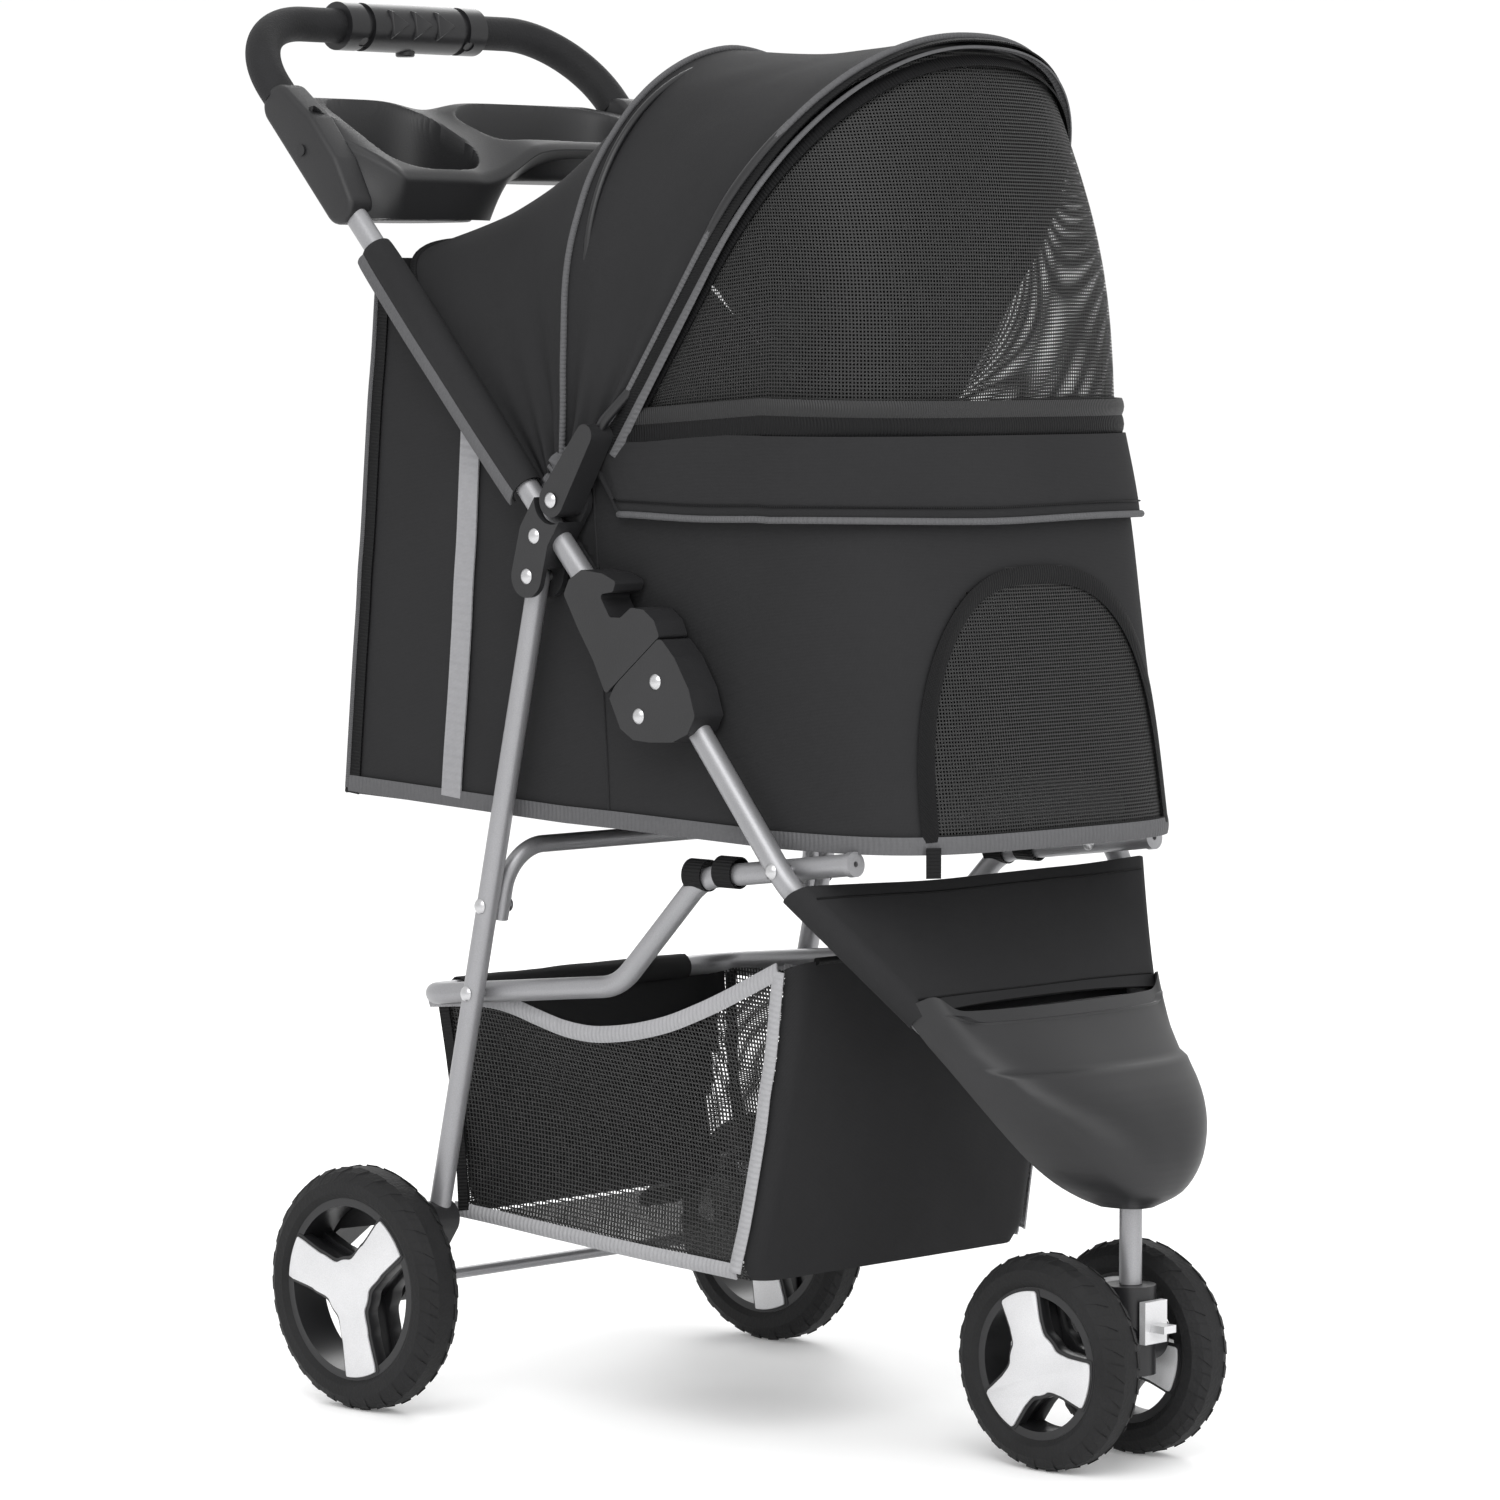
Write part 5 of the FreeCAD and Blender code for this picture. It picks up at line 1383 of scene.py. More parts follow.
        net = drawn_sheet("window_net", 150, 90, shape)
        face_away(net, Vector((0.0, 0.0, 0.72)))
        thicken(net, 0.0003, -1.0)
        smooth(net, 60)
        self.keep(net, self.finish.net, Carrier.WINDOW, "mesh")
        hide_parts("window_mesh")
        for name, v, width, material in (("window_top_binding", 0.975, 0.014, self.finish.black_binding),):
            path = lambda t: shape(t, v)
            self.keep(
                tape(name, path, lambda t: Vector((path(t).x, -0.1, 0.12)), width, 0.001, 150), material,
                Carrier.WINDOW
            )


# ---- the basket -----------------------------------------------------------
@dataclass
class Basket:
    """The storage basket: a sewn bag with mesh sides, hung from the seat bar."""

    finish: Finishes
    tailor: Tailor
    half: float = 0.1415
    corner: float = 0.020
    top_line: tuple[tuple[float, float], ...] = (
        (-0.180, 0.336), (-0.140, 0.318), (-0.108, 0.303), (-0.070, 0.287), (-0.042, 0.278), (0.000, 0.270), (0.035, 0.268), (0.070, 0.275), (0.110, 0.286), (0.150, 0.284), (0.220, 0.277),
    )

    def plan(self, u: float) -> tuple[float, float, float]:
        """The bag's outline for u from the front's middle round the left, rear and right.

        Args:
            u: the share of the outline, 0 to 1.

        Returns:
            x, a share from front to rear, and 1 on the mesh sides.
        """
        depth = 0.31
        half, r = self.half, self.corner
        arc = r * math.pi / 2
        runs = [half - r, arc, depth - 2 * r, arc, 2 * (half - r), arc, depth - 2 * r, arc, half - r]
        total = sum(runs)
        s = u * total
        places = [
            lambda d: (-d, 0.0),
            lambda d: (-(half - r) - r * math.sin(d / r), r - r * math.cos(d / r)),
            lambda d: (-half, r + d),
            lambda d: (-half + r - r * math.cos(d / r), depth - r + r * math.sin(d / r)),
            lambda d: (-(half - r) + d, depth),
            lambda d: ((half - r) + r * math.sin(d / r), depth - r + r * math.cos(d / r)),
            lambda d: (half, depth - r - d),
            lambda d: (half - r + r * math.cos(d / r), r - r * math.sin(d / r)),
            lambda d: (half - r - d, 0.0),
        ]
        for index, run in enumerate(runs):
            if s <= run + 1e-9 or index == len(runs) - 1:
                x, y = places[index](min(s, run))
                return x, y / depth, 1.0 if index in (2, 6) else 0.0
            s -= run
        return 0.0, 0.0, 0.0

    def rim_height(self, y: float) -> float:
        """The rim's smoothed height at y."""
        ys, zs = zip(*self.top_line)
        return float(np.mean([np.interp(y + step, ys, zs) for step in np.linspace(-0.022, 0.022, 9)]))

    def place(self, x: float, share: float, v: float, sag: float = 1.0) -> Vector:
        """A point of the bag at x, a share from front to rear and a share v of its height."""
        front = -0.127 + (-0.172 + 0.127) * v
        rear = 0.162 + (0.186 - 0.162) * v
        y = front + (rear - front) * share
        top_y = -0.172 + (0.186 + 0.172) * share
        top = self.rim_height(top_y)
        bottom = 0.113 + 0.018 * share - 0.006 * math.sin(math.pi * share) * (1 - (x / self.half) ** 2)
        z = bottom + (top - bottom) * v
        inward = 0.010 * math.sin(math.pi * v) * sag * math.sin(math.pi * share) ** 0.5
        x = x * (1 - inward / self.half)
        here = Vector((x, y, z))
        ripple = 0.0022 * wrinkle(here, 26.0, 7.0) * math.sin(math.pi * min(1.0, v)) + 0.0008 * wrinkle(here, 60.0, 2.0)
        return Vector(
            (
                x + ripple * (1 if x > 0 else -1) * (abs(x) > self.half * 0.9),
                y + ripple * (share < 0.05) - ripple * (share > 0.95), z
            )
        )

    def shell(self, u: float, v: float) -> Vector:
        """A point on the bag's upright walls."""
        x, share, _mesh = self.plan(u)
        round_foot = 1 - max(0.0, 0.06 - v) * 1.2
        return self.place(x * round_foot, share, v)

    def build(self) -> None:
        """Makes the bag, its floor, its bindings, its hems and the sleeve on the bar."""
        columns = 200
        bag = drawn_sheet("basket_bag", columns, 40, self.shell, closed=True)
        face_away(bag, Vector((0.0, 0.02, 0.2)))
        floor = drawn_sheet(
            "basket_floor", 50, 50, lambda a, b: self.place(
                (2 * a - 1) * (self.half - 0.010), 0.03 + 0.94 * b, 0.0
            )
        )
        if floor.data.polygons[0].normal.z > 0:
            activate(floor)
            bpy.ops.object.mode_set(mode="EDIT")
            bpy.ops.mesh.select_all(action="SELECT")
            bpy.ops.mesh.flip_normals()
            bpy.ops.object.mode_set(mode="OBJECT")
        thicken(bag, 0.0005, -1.0)
        thicken(floor, 0.0005, -1.0)
        self.finish.dress(bag, self.finish.canvas, self.finish.basket_net)
        for polygon in bag.data.polygons:
            c = polygon.center
            line = -0.127 - 0.045 * (c.z - 0.113) / 0.22
            on_side = abs(c.x) > self.half * 0.86
            polygon.material_index = int(on_side and line + 0.012 < c.y < 0.172)
        smooth(bag, 60)
        self.finish.dress(floor, self.finish.basket_net)
        smooth(floor, 60)
        self.tailor.hang(bag, Carrier.BASKET)
        self.tailor.hang(floor, Carrier.BASKET, "mesh")
        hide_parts("basket")
        for side in Side:
            tag = side.name.lower()
            s = side.value

            def rim(t: float, s: float = s) -> Vector:
                return self.place(s * self.half, 0.045 + 0.945 * t, 1.0)

            def foot(t: float, s: float = s) -> Vector:
                return self.place(s * self.half * 0.985, 0.045 + 0.945 * t, 0.03)

            def front(t: float, s: float = s) -> Vector:
                return self.place(s * self.half, 0.045, 0.03 + 0.97 * t)

            def rear(t: float, s: float = s) -> Vector:
                return self.place(s * self.half, 0.955, 0.03 + 0.97 * t)
            out = lambda _t, s=s: Vector((s, 0, 0))
            for name, path, width in (
                ("rim", rim, 0.011), ("foot", foot, 0.010), ("front_edge", front, 0.010)
            ):
                strip = tape(f"basket_{name}_{tag}", path, out, width, 0.0016, 90, crown=0.0015)
                self.finish.dress(strip, self.finish.silver_binding)
                self.tailor.hang(strip, Carrier.BASKET)
            strip = tape(f"basket_rear_edge_{tag}", rear, out, 0.010, 0.0012, 60)
            self.finish.dress(strip, self.finish.black_binding)
            self.tailor.hang(strip, Carrier.BASKET)
        for name, share in (("front", 0.0), ("rear", 1.0)):
            points = [self.place((2 * i / 60 - 1) * (self.half - 0.018), share, 1.0) for i in range(61)]
            edge = rod(f"basket_{name}_hem", points, 0.0026)
            self.finish.dress(edge, self.finish.black_binding)
            self.tailor.hang(edge, Carrier.BASKET)
        self.wrap()
        LOG.info("basket: bag, floor, bindings")

    def wrap(self) -> None:
        """Makes the sleeve of cloth that holds the bag's rear edge on the bar."""
        low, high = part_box("s_bar")
        bar_y = high[1] - 0.0075
        bar_z = low[2] + 0.0075
        radius = 0.0092

        def shape(u: float, v: float) -> Vector:
            x = (2 * u - 1) * 0.112
            angle = math.radians(-70 + 300 * v)
            return Vector(
                (
                    x, bar_y + radius * math.cos(angle),
                    bar_z + radius * math.sin(angle) + 0.0006 * wrinkle(Vector((x, v, 0)), 60, 1)
                )
            )
        sleeve = drawn_sheet("basket_bar_sleeve", 60, 24, shape)
        face_away(sleeve, Vector((0, bar_y, bar_z)))
        thicken(sleeve, 0.001, 0.0)
        self.finish.dress(smooth(sleeve, 60), self.finish.canvas)
        self.tailor.hang(sleeve, Carrier.BASKET)


# ---- front panel ----------------------------------------------------------
@dataclass
class FrontPanel:
    """The cloth panel between the lower tubes, sewn round each of them."""

    finish: Finishes
    tailor: Tailor
    sleeve: float = 0.0100

    def build(self) -> None:
        """Makes the panel, its hems and stitch lines."""
        _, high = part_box("front_panel")
        tube_low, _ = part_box("front_tube_right")
        top = Vector((0.166, high[1] + 0.004, high[2] - 0.004))
        end = Vector((0.045, tube_low[1] + 0.006, tube_low[2] + 0.005))
        bottom = top.lerp(end, 0.47)
        run = (end - top).normalized()
        out = Vector((0, run.z, -run.y)).normalized()
        if out.y > 0:
            out = -out
        radius = self.sleeve

        def shape(u: float, v: float) -> Vector:
            centre = top.lerp(bottom, v)
            wrap = 0.13
            sag = 0.0
            if u < wrap or u > 1 - wrap:
                s = u / wrap if u < wrap else (1 - u) / wrap
                side = -1.0 if u < wrap else 1.0
                angle = math.radians(215 * (1 - s))
                offset = out * math.cos(angle) * radius + Vector((side, 0, 0)) * math.sin(angle) * radius
                x = side * centre.x
            else:
                s = (u - wrap) / (1 - 2 * wrap)
                x = centre.x * (2 * s - 1)
                offset = out * radius
                sag = math.sin(math.pi * s)
            here = Vector((x, centre.y, centre.z)) + offset
            ripple = 0.0012 * wrinkle(here, 26, 9.0)
            edge = 0.0035 * sag * (1 if v < 0.5 else -1) * abs(2 * v - 1) ** 3
            return here - out * (0.006 * sag * math.sin(math.pi * v) + ripple) - Vector((0, 0, 1)) * edge

        panel = drawn_sheet("front_cloth", 150, 50, shape)
        face_away(panel, Vector((0, 0.2, 0.5)))
        thicken(panel, 0.0016, 0.0)
        self.finish.dress(smooth(panel, 60), self.finish.canvas)
        self.tailor.hang(panel, Carrier.FRONT)
        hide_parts("front_panel")
        for name, v in (("lower", 0.90), ("upper", 0.10)):
            points = [shape(0.12 + 0.76 * i / 120, v) + out * 0.0009 for i in range(121)]
            stitch = rod(f"front_cloth_{name}_seam", points, 0.0007)
            self.finish.dress(stitch, self.finish.black_binding)
            self.tailor.hang(stitch, Carrier.FRONT)
        LOG.info("front panel: cloth and seams")


# ---- wheels ---------------------------------------------------------------
@dataclass
class Wheel:
    """One wheel: tread blocks on the tyre, and a silver plate on the rim's outer face."""

    finish: Finishes
    name: str
    body: str
    plate_turn: float
    arm: float = 0.0118
    flare: float = 0.0158
    crotch: float = 0.021

    def outline(self, angle: float, reach: float, margin: float) -> float:
        """The arms' edge distance at an angle: three arms that widen a little at the rim."""
        best = self.crotch + margin
        for arm in range(3):
            off = (angle - self.plate_turn - arm * 2 * math.pi / 3 + math.pi) % (2 * math.pi) - math.pi
            if abs(off) > math.pi / 2:
                continue
            radii = np.linspace(0.008, reach, 90)
            width = self.arm + (self.flare - self.arm) * (radii / reach) ** 2 + margin
            inside = radii[np.abs(math.sin(off)) * radii <= width]
            if len(inside):
                best = max(best, float(inside.max()))
        return best

    def arms(self, face: float, start: float, depth: float, reach: float, margin: float) -> bpy.types.Object:
        """Extrudes the three-armed outline on one face of the rim.

        Args:
            face: -1 or 1, the wheel's left or right face.
            start: where the arms start, from the wheel's middle.
            depth: how thick they are.
            reach: the arms' length.
            margin: how much the outline grows.

        Returns:
            The bevelled arms, about the origin.
        """
        clear_selection()
        bpy.ops.mesh.primitive_circle_add(vertices=240, radius=reach, fill_type="NGON", location=(0, 0, 0))
        plate = bpy.context.object
        turns = [math.atan2(v.co.y, v.co.x) for v in plate.data.vertices]
        edge = np.array([self.outline(turn, reach, margin) for turn in turns])
        eased = np.mean([np.roll(edge, shift) for shift in range(-7, 8)], axis=0)
        inner = np.clip((reach * 0.62 - edge) / (reach * 0.2), 0.0, 1.0)
        for vertex, turn, r in zip(
            plate.data.vertices, turns, edge + (np.minimum(eased, reach * 0.62) - edge) * inner
        ):
            vertex.co = (face * start, r * math.cos(turn), r * math.sin(turn))
        activate(plate)
        bpy.ops.object.mode_set(mode="EDIT")
        bpy.ops.mesh.select_all(action="SELECT")
        bpy.ops.mesh.extrude_region_move(TRANSFORM_OT_translate={"value": (face * depth, 0, 0)})
        bpy.ops.mesh.select_all(action="SELECT")
        bpy.ops.mesh.normals_make_consistent(inside=False)
        bpy.ops.object.mode_set(mode="OBJECT")
        bevel = plate.modifiers.new("edge", "BEVEL")
        bevel.width = 0.0008
        bevel.segments = 2
        return apply_modifiers(plate)

    def build(self) -> None:
        """Makes the arms, plates and tread of this wheel."""
        low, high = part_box(f"{self.name}_rim_{self.body}")
        tyre_low, tyre_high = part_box(f"{self.name}_tyre_{self.body}")
        centre = Vector(((low[0] + high[0]) / 2, (low[1] + high[1]) / 2, (low[2] + high[2]) / 2))
        reach = (high[2] - low[2]) / 2 - 0.0008
        face_x = (high[0] - low[0]) / 2
        body = f"{self.name}_wheel_{self.body}"
        layers = (
            ("arms", 0.0052, face_x - 0.0046, reach, 0.0024, self.finish.smooth_plastic),
            ("plates", face_x + 0.0004, 0.0018, reach - 0.0015, 0.0, self.finish.plate),
        )
        for name, start, depth, length, margin, material in layers:
            both = [self.arms(face, start, depth, length, margin) for face in (-1.0, 1.0)]
            piece = join(both, f"{self.name}_{name}_{self.body}")
            piece.location = centre
            settle(piece)
            self.finish.dress(smooth(piece, 35), material)
            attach(piece, body)
        self.tread(centre, tyre_low, tyre_high, body)
        LOG.info("wheel: %s %s", self.name, self.body)

    def tread(self, centre: Vector, low: Vector, high: Vector, body: str) -> None:
        """Makes the shallow chevron blocks round the tyre's shoulders."""
        radius = (high[2] - low[2]) / 2
        half = (high[0] - low[0]) / 2
        count = 30 if radius > 0.08 else 26
        clear_selection()
        bpy.ops.mesh.primitive_cube_add(size=1.0)
        block = bpy.context.object
        mesh = block.data
        profile = [
            (half - 0.0095, radius + 0.0002), (half - 0.0040, radius - 0.0028),
            (half - 0.0002, radius - 0.0092)
        ]
        bm = bmesh.new()
        for index in range(count):
            for side in (-1.0, 1.0):
                base = 2 * math.pi * (index + (0.5 if side > 0 else 0.0)) / count
                skew = 0.10
                width = 0.62 * 2 * math.pi / count
                rings = []
                for step, (x, r) in enumerate(profile):
                    turn = base + skew * step * side * 0.5
                    ring = []
                    for edge in (-0.5, 0.5):
                        angle = turn + edge * width * (1 - 0.25 * step)
                        for lift in (-0.0012, 0.0007):
                            ring.append(
                                bm.verts.new(
                                    (
                                        centre.x + side * x, centre.y + (r + lift) * math.cos(angle),
                                        centre.z + (r + lift) * math.sin(angle)
                                    )
                                )
                            )
                    rings.append(ring)
                for a, b in zip(rings, rings[1:]):
                    for i, j in ((0, 1), (1, 3), (3, 2), (2, 0)):
                        bm.faces.new((a[i], a[j], b[j], b[i]))
                bm.faces.new((rings[0][0], rings[0][2], rings[0][3], rings[0][1]))
                bm.faces.new((rings[-1][0], rings[-1][1], rings[-1][3], rings[-1][2]))
        bmesh.ops.recalc_face_normals(bm, faces=bm.faces)
        bm.to_mesh(mesh)
        bm.free()
        block.name = f"{self.name}_tread_{self.body}"
        self.finish.dress(smooth(block, 30), self.finish.tyre)
        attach(block, body)


# ---- small fittings -------------------------------------------------------
@dataclass
class Fittings:
    """Straps and small trims on the frame."""

    finish: Finishes

    def straps(self) -> None:
        """Makes the webbing loops round the seat bar's arms."""
        _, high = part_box("s_bar")
        for side in Side:
            x = side.value * (high[0] - 0.0075)
            for index, y in enumerate((-0.118, -0.090)):
                z = 0.3855 - 0.124 * (y + 0.092)
                loop = []
                for i in range(28):
                    a = 2 * math.pi * i / 28
                    loop.append(Vector((x + 0.0092 * math.cos(a), y, z + 0.0098 * math.sin(a))))

                def path(t: float, loop: list[Vector] = loop) -> Vector:
                    k = t * 28
                    a, b = loop[int(k) % 28], loop[(int(k) + 1) % 28]
                    return a.lerp(b, k - int(k))
                centre = Vector((x, y, z))
                strap = tape(
                    f"bar_strap_{side.name.lower()}_{index}", path, lambda t, p=path, c=centre: p(t) - c, 0.017, 0.0004, 56
                )
                self.finish.dress(strap, self.finish.black_binding)
                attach(strap, "s_bar")
        LOG.info("fittings: straps")

    def arrows(self) -> None:
        """Makes the three arrow-shaped pads on the grip."""
        low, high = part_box("grip_housing")
        centre = Vector(((low[0] + high[0]) / 2, (low[1] + high[1]) / 2, (low[2] + high[2]) / 2))
        radius = (high[2] - low[2]) / 2
        pads = []
        for index in range(3):
            clear_selection()
            bpy.ops.mesh.primitive_cone_add(vertices=3, radius1=0.0135, radius2=0.0105, depth=0.0050)
            pad = bpy.context.object
            bevel = pad.modifiers.new("edge", "BEVEL")
            bevel.width = 0.0010
            bevel.segments = 2
            apply_modifiers(pad)
            raised = math.radians(8)
            place = centre + Vector(
                (
                    (index - 1) * 0.0225, -math.cos(raised) * (radius - 0.0010),
                    math.sin(raised) * (radius - 0.0010)
                )
            )
            pad.matrix_world = Matrix.Translation(place) @ Matrix.Rotation(
                math.radians(90) - raised, 4, "X"
            ) @ Matrix.Rotation(math.radians(-90), 4, "Z")
            settle(pad)
            pads.append(pad)
        pad = join(pads, "grip_arrows")
        self.finish.dress(smooth(pad, 30), self.finish.smooth_plastic)
        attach(pad, "handle_frame")
        LOG.info("fittings: grip arrows")

    def build(self) -> None:
        """Makes every fitting."""
        self.straps()
        self.arrows()


@dataclass
class ForkCover:
    """The moulded shield over the lower tubes' ends, with its ridge and raised shield."""

    finish: Finishes
    sections: tuple[tuple[float, float, float, float], ...] = (
        (
            0.3060, 0.1240, -0.2420, -0.2860
        ), (0.2860, 0.1130, -0.2560, -0.3060), (0.2660, 0.1020, -0.2700, -0.3300),
        (
            0.2450, 0.0910, -0.2840, -0.3560
        ), (0.2250, 0.0790, -0.2960, -0.3690), (0.2050, 0.0640, -0.3060, -0.3740),
        (
            0.1900, 0.0480, -0.3140, -0.3720
        ), (0.1790, 0.0310, -0.3220, -0.3650), (0.1720, 0.0150, -0.3290, -0.3540),
    )
    border: float = 0.012
    raised: float = 0.0042

    def section(self, v: float) -> tuple[float, float, float, float]:
        """Height, half width, back and front at a share v from top to bottom."""
        steps = np.linspace(0.0, 1.0, len(self.sections))
        table = np.array(self.sections)
        spread = [
            np.mean(
                [np.interp(min(1.0, max(0.0, v + d)), steps, table[:, k]) for d in (-0.04, 0.0, 0.04)]
            ) for k in range(4)
        ]
        return tuple(float(value) for value in spread)

    def shape(self, u: float, v: float) -> Vector:
        """A point on the cover: u round from the back's middle, v down."""
        z, half, back, front = self.section(v)
        depth = back - front
        if u < 0.18 or u > 0.82:
            s = u / 0.18 if u < 0.18 else (1 - u) / 0.18
            side = -1.0 if u < 0.18 else 1.0
            return Vector((side * half * s, back, z))
        turn = math.pi * (1 - (u - 0.18) / 0.64)
        c, d = math.cos(turn), max(0.0, math.sin(turn))
        exponent = 2.5
        x = half * math.copysign(abs(c) ** (2 / exponent), c)
        y = back - depth * d ** (2 / exponent)
        low_edge = (z - self.sections[-1][0]) / self.border
        inner = min((half - abs(x)) / self.border, low_edge, (0.2665 - z) / 0.003)
        step = min(1.0, max(0.0, inner))
        step = step * step * (3 - 2 * step)
        ear = math.exp(-((abs(x) - half + 0.010) / 0.010) ** 2) * max(0.0, 1 - v / 0.16)
        return Vector((x, y - self.raised * step, z + 0.010 * ear))

    def build(self) -> None:
        """Makes the cover in one moulded skin with a closed top and bottom."""
        skin = drawn_sheet("fork_shield", 200, 90, self.shape, closed=True)
        face_away(skin, Vector((0.0, -0.31, 0.25)))
        lids = []
        for v, inset in ((0.07, 0.0015), (0.997, 0.0)):
            def lid(a: float, b: float, v: float = v, inset: float = inset) -> Vector:
                left = self.shape(0.18 + 0.32 * b, v)
                x = left.x * (1 - 2 * a) * (1 - inset)
                back = self.shape(0.0, v).y
                share = 1 - abs(1 - 2 * a)
                return Vector(
                    (x, left.y * share + left.y * (1 - share), left.z)
                ) if b > 0 else Vector((x, back, left.z))
            lids.append(drawn_sheet("cover_lid", 40, 30, lid))
        skin = join([skin] + lids, "fork_shield")
        thicken(skin, 0.0018, -1.0)
        self.finish.dress(smooth(skin, 40), self.finish.cover)
        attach(skin, "front_frame")
        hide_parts("fork_cover")
        LOG.info("fork cover: %s", skin.name)


@dataclass
class Tray:
    """The moulded tray: one flowing skin with a cup well and a pocket, and two cheeks on the tubes."""

    finish: Finishes
    cup_dip: float = 0.058
    pocket_dip: float = 0.034
    wall: float = 0.007

    def __post_init__(self) -> None:
        """Reads the tray's place from the part."""
        low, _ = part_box("parent_tray")
        self.low = low[2]
        cup = joint_mount("cup_well_floor")
        self.cup = Vector((cup[0], cup[1], cup[2]))
        self.middle = cup[1]
        self.top = self.low + 0.074 + 0.016
        self.half_x = 0.172
        self.shoulder = 0.132
        self.half_y = 0.054

    @staticmethod
    def well(x: float, y: float, half_x: float, half_y: float, wall: float) -> float:
        """How far down a well goes, 0 outside it to 1 inside it."""
        r = (abs(x / half_x) ** 3 + abs(y / half_y) ** 3) ** (1 / 3)
        step = min(1.0, max(0.0, (1.0 - r) * min(half_x, half_y) / wall))
        return step * step * (3 - 2 * step)

    def rim(self, x: float, y: float) -> float:
        """The rim's height: it falls to the front and rises to the cheeks."""
        ahead = min(1.0, max(0.0, (self.middle + self.half_y - y) / (2 * self.half_y)))
        cheek = max(0.0, (abs(x) - self.shoulder) / (self.half_x - self.shoulder))
        saddle = 0.006 * math.exp(-((x + 0.024) / 0.026) ** 2)
        across = min(1.0, max(0.0, (x + 0.060) / 0.060))
        dip = self.cup_dip + (self.pocket_dip - self.cup_dip) * across * across * (3 - 2 * across)
        return self.top - dip * ahead ** 1.3 * (1 - 0.92 * cheek ** 1.4) - saddle - 0.010 * cheek ** 2

    def edge(self, x: float, z: float, way: float) -> float:
        """Where the outline lies: round the well, and at the tube's line by the cheeks."""
        share = min(1.0, max(0.0, (abs(x) - self.shoulder) / (self.half_x - self.shoulder)))
        share = share * share * (3 - 2 * share)
        tube = TUBE_POINT.y + (z - TUBE_POINT.z) * TUBE_WAY.y / TUBE_WAY.z + way * 0.0125
        return (self.middle + way * self.half_y) * (1 - share) + tube * share

    def shape(self, u: float, v: float) -> Vector:
        """A point of the tray's skin, with the wall that hangs from its rim."""
        a, b = 2 * u - 1, 2 * v - 1
        reach = min(1.0, abs(b) * 1.28)
        skirt = max(0.0, (abs(b) * 1.28 - 1) / 0.28)
        x = self.half_x * a
        y = self.middle + self.half_y * math.copysign(reach, b)
        top = self.rim(x, y)
        cup = self.well(x - self.cup.x, y - self.middle, 0.050, 0.047, self.wall)
        pocket = self.well(x - 0.060, y - self.middle, 0.078, 0.046, self.wall)
        floor_cup = self.low + 0.003
        floor_pocket = self.low + 0.033
        z = top + (floor_cup - top) * cup
        z = z + (floor_pocket - z) * pocket
        near = min(1.0, max(0.0, (reach - 0.86) / 0.14))
        z -= 0.003 * near ** 2
        if b < 0:
            end = min(1.0, max(0.0, (self.cup.x + 0.062 - x) / 0.012))
            depth = 0.017 + (top - 0.003 - self.low - 0.0015 - 0.017) * end
            z -= depth * skirt
        else:
            z -= 0.017 * skirt
        ahead = self.edge(x, z if skirt > 0 else top, -1.0 if b < 0 else 1.0)
        place = self.middle + (ahead - self.middle) * reach
        if b < 0 and skirt > 0:
            round_off = max(0.0, x - self.cup.x) / 0.062
            place += skirt * (0.006 + 0.020 * min(1.0, round_off) ** 3)
        return Vector((x, place, z))

    def cheek(self, side: Side) -> bpy.types.Object:
        """The shell round one side tube."""
        clear_selection()
        bpy.ops.mesh.primitive_circle_add(vertices=72, radius=0.02, fill_type="NGON", location=(0, 0, 0))
        obj = bpy.context.object
        lobes = (
            (-0.006, 0.0015, 0.0150), (0.026, 0.004, 0.0180), (0.060, 0.0040, 0.0170), (0.088, 0.0, 0.0140)
        )
        share = (self.low + 0.0755 - TUBE_POINT.z) / TUBE_WAY.z
        head = TUBE_POINT + TUBE_WAY * share
        for vertex in obj.data.vertices:
            angle = math.atan2(vertex.co.y, vertex.co.x)
            way = Vector((0.0, math.cos(angle), math.sin(angle)))
            best, place = -9.0, None
            for down, up, radius in lobes:
                centre = head - TUBE_WAY * down + TUBE_UP * up
                reach = centre.dot(way) + radius
                if reach > best:
                    best, place = reach, centre + way * radius
            vertex.co = (side.value * (SIDE_TUBE - 0.0115), place.y, place.z)
        activate(obj)
        bpy.ops.object.mode_set(mode="EDIT")
        bpy.ops.mesh.select_all(action="SELECT")
        bpy.ops.mesh.extrude_region_move(TRANSFORM_OT_translate={"value": (side.value * 0.0235, 0, 0)})
        bpy.ops.mesh.select_all(action="SELECT")
        bpy.ops.mesh.remove_doubles(threshold=1e-5)
        bpy.ops.mesh.normals_make_consistent(inside=False)
        bpy.ops.object.mode_set(mode="OBJECT")
        bevel = obj.modifiers.new("edge", "BEVEL")
        bevel.width = 0.0045
        bevel.segments = 4
        apply_modifiers(obj)
        return obj

    def build(self) -> None:
        """Makes the skin and both cheeks as one moulding."""
        skin = drawn_sheet("tray_skin", 230, 150, self.shape)
        if max(skin.data.polygons, key=lambda p: p.center.z).normal.z < 0:
            activate(skin)
            bpy.ops.object.mode_set(mode="EDIT")
            bpy.ops.mesh.select_all(action="SELECT")
            bpy.ops.mesh.flip_normals()
            bpy.ops.object.mode_set(mode="OBJECT")
        thicken(skin, 0.0026, -1.0)
        tray = join([skin, self.cheek(Side.LEFT), self.cheek(Side.RIGHT)], "tray_moulding")
        self.finish.dress(smooth(tray, 45), self.finish.plastic)
        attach(tray, "handle_frame")
        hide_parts("parent_tray")
        LOG.info("tray: %s", tray.name)


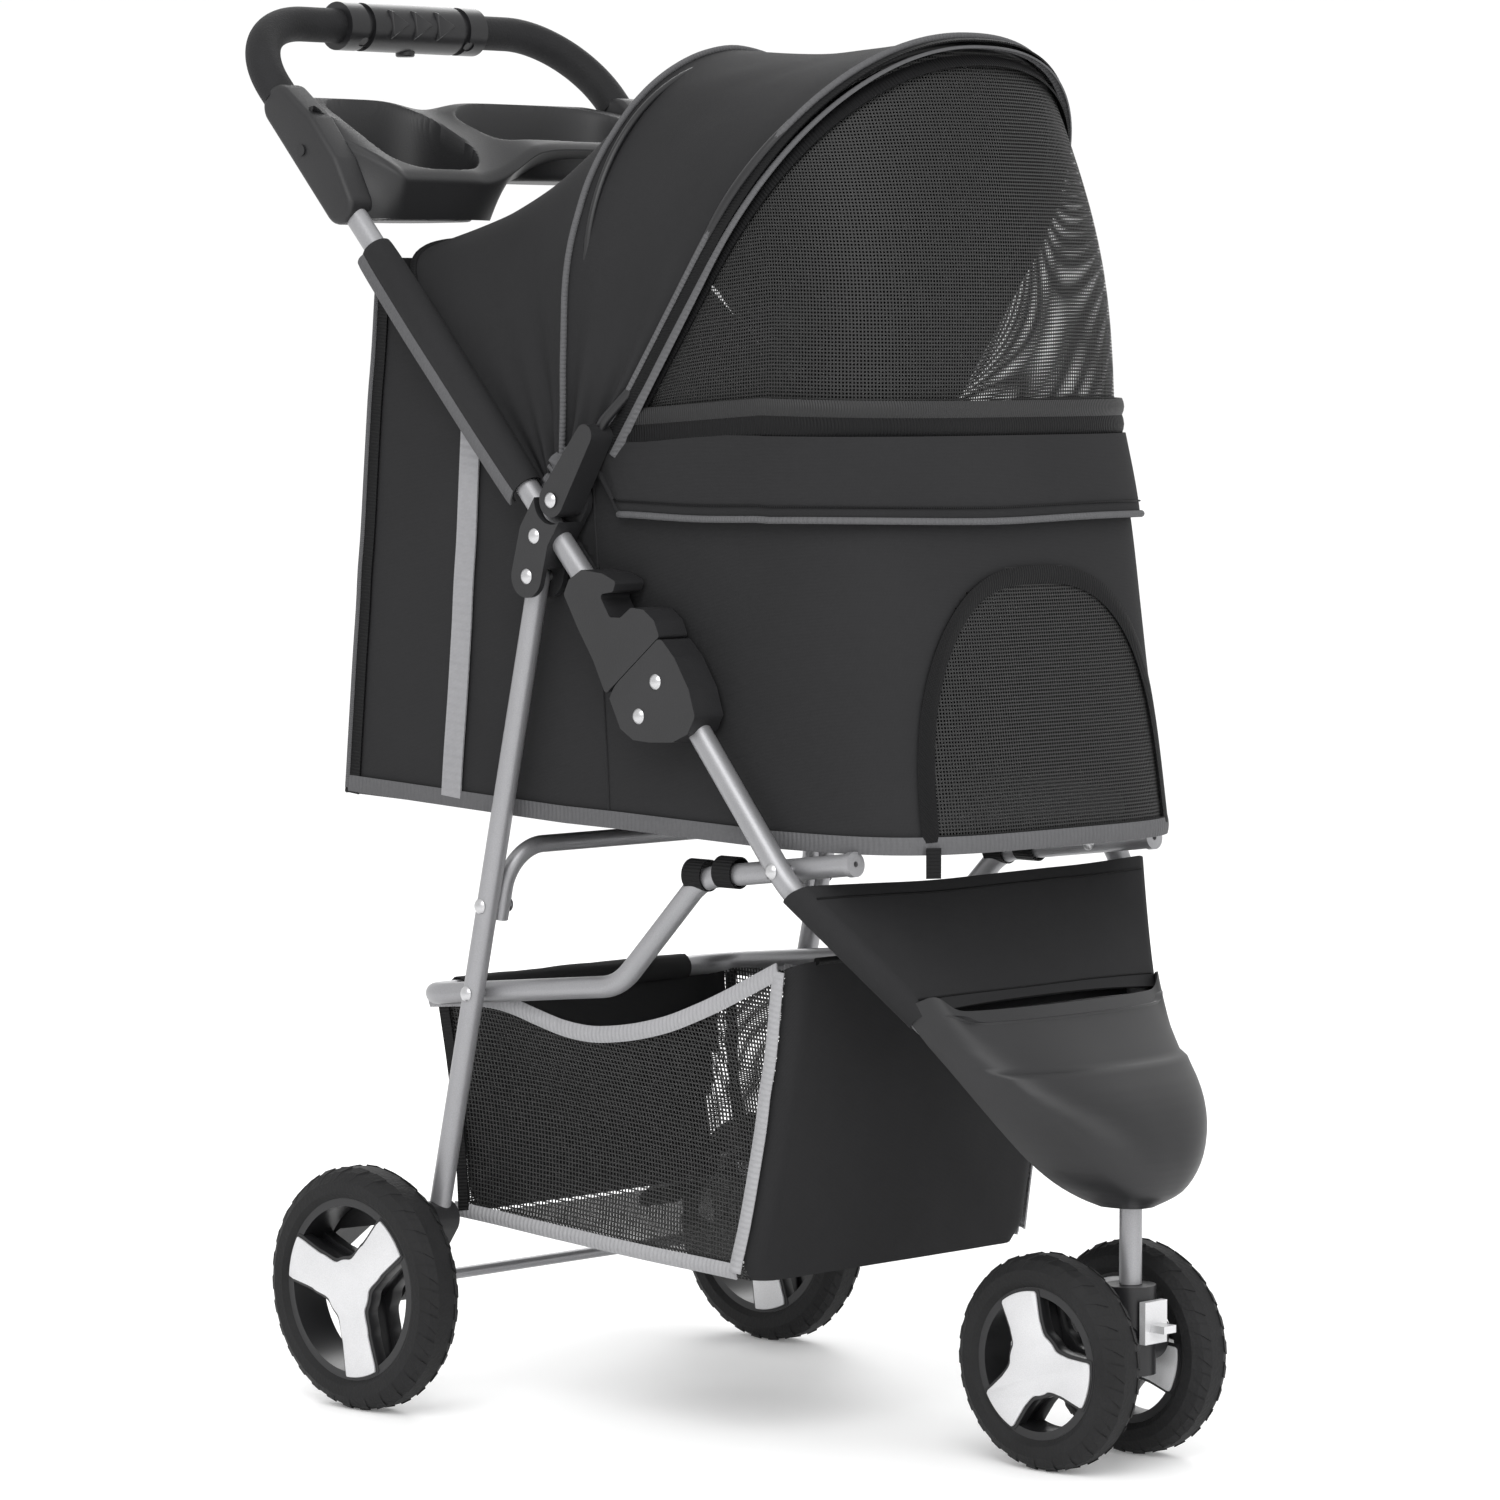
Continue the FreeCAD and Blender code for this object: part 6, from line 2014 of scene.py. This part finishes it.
# ---- carried-over pieces --------------------------------------------------
@dataclass
class CarriedOver:
    """The frame's own solids, each given its finish."""

    finish: Finishes

    def build(self) -> None:
        """Dresses every node that is still shown."""
        f = self.finish
        named = {
            "front_tube": f.coat, "rear_leg": f.coat, "handle_tube": f.coat, "leg_crossbar": f.coat, "s_bar": f.coat,
            "caster_stem": f.coat, "fork_cover": f.cover, "grip_housing": f.smooth_plastic, "grip_button": f.smooth_plastic,
            "parent_tray": f.plastic, "s_bar_caps": f.coat, "caster_body": f.smooth_plastic, "caster_lock": f.plate,
            "latch_lower": f.plastic, "latch_upper": f.plastic, "latch_slide": f.plastic, "hinge_bracket": f.plastic,
            "hoop_socket": f.plastic, "axle_shoe": f.plastic, "brake_pedal": f.plastic, "rear_rim": f.smooth_plastic,
            "front_rim": f.smooth_plastic, "latch_pins": f.steel, "s_bar_rivets": f.steel, "handle_screws": f.smooth_plastic,
            "hinge_rivets": f.steel, "leg_rivets": f.steel, "rear_axle": f.coat, "front_axle": f.steel,
            "front_hoop": f.smooth_plastic, "rear_hoop": f.smooth_plastic, "foam_grip": f.foam, "rear_tyre": f.tyre,
            "front_tyre": f.tyre, "floor_board": f.lining,
        }
        for name, node in frame["nodes"].items():
            stem = name[:-5] if name.endswith("_left") else name[:-6] if name.endswith("_right") else name
            material = named.get(name) or named.get(stem)
            if material is not None:
                f.dress(node, material)
            elif not node.hide_render:
                LOG.warning("no finish for %s", name)


# ---- studio ---------------------------------------------------------------
@dataclass
class Studio:
    """Pale floor, soft light and the camera."""

    lens: float = 143.83
    place: tuple[float, float, float] = (-2.9798, -2.8852, 0.7405)
    pitch: float = 3.91
    yaw: float = -45.83

    def build(self) -> None:
        """Sets out the floor, the lights and the camera."""
        clear_selection()
        bpy.ops.mesh.primitive_plane_add(size=60.0, location=(0, 0, -0.0005))
        floor = bpy.context.object
        floor.name = "studio_floor"
        g = Graph("studio_floor")
        tone = g.noise(g.coordinates(False), 3.0, 2.0)
        g.link(
            g.ramp(tone, [(0.3, (0.945, 0.945, 0.945)), (0.7, (0.95, 0.95, 0.95))]),
            g.shader.inputs["Base Color"]
        )
        g.shader.inputs["Emission Color"].default_value = (1.0, 1.0, 1.0, 1.0)
        g.shader.inputs["Emission Strength"].default_value = 0.12
        g.shader.inputs["Roughness"].default_value = 0.6
        g.shader.inputs["Specular IOR Level"].default_value = 0.2
        floor.data.materials.append(g.material)
        world = bpy.data.worlds.new("studio")
        bpy.context.scene.world = world
        world.use_nodes = True
        world.node_tree.nodes["Background"].inputs[0].default_value = (1.0, 1.0, 1.0, 1.0)
        world.node_tree.nodes["Background"].inputs[1].default_value = 1.02
        for name, spot, size, power in (
            ("key", (-2.2, -1.6, 2.8), 2.2, 62.0), (
                "fill", (-0.6, -3.4, 1.6), 2.4, 26.0
            ), ("back", (2.4, 2.2, 2.6), 2.0, 40.0),
        ):
            bpy.ops.object.light_add(type="AREA", location=spot)
            lamp = bpy.context.object
            lamp.name = name
            lamp.data.size = size
            lamp.data.energy = power
            lamp.rotation_euler = (Vector((0, 0, 0.5)) - Vector(spot)).to_track_quat("-Z", "Y").to_euler()
        bpy.ops.object.camera_add(
            location=self.place, rotation=(math.radians(90 - self.pitch), 0, math.radians(self.yaw))
        )
        camera = bpy.context.object
        camera.data.lens = self.lens
        camera.data.sensor_width = 36.0
        camera.data.clip_end = 100.0
        bpy.context.scene.camera = camera
        bpy.context.scene.view_settings.view_transform = "Standard"


def main() -> None:
    """Builds the stroller, piece by piece."""
    logging.basicConfig(level=logging.INFO, format="%(message)s")
    finish = Finishes()
    tailor = Tailor()
    cabin = Cabin(finish, tailor)
    Canopy(finish, tailor, cabin).build()
    cabin.build()
    Basket(finish, tailor).build()
    FrontPanel(finish, tailor).build()
    for name in ("rear", "front"):
        for side in Side:
            Wheel(finish, name, side.name.lower(), math.radians(17 if name == "rear" else 72)).build()
    Fittings(finish).build()
    ForkCover(finish).build()
    Tray(finish).build()
    CarriedOver(finish).build()
    Studio().build()


if __name__ == "__main__":
    main()
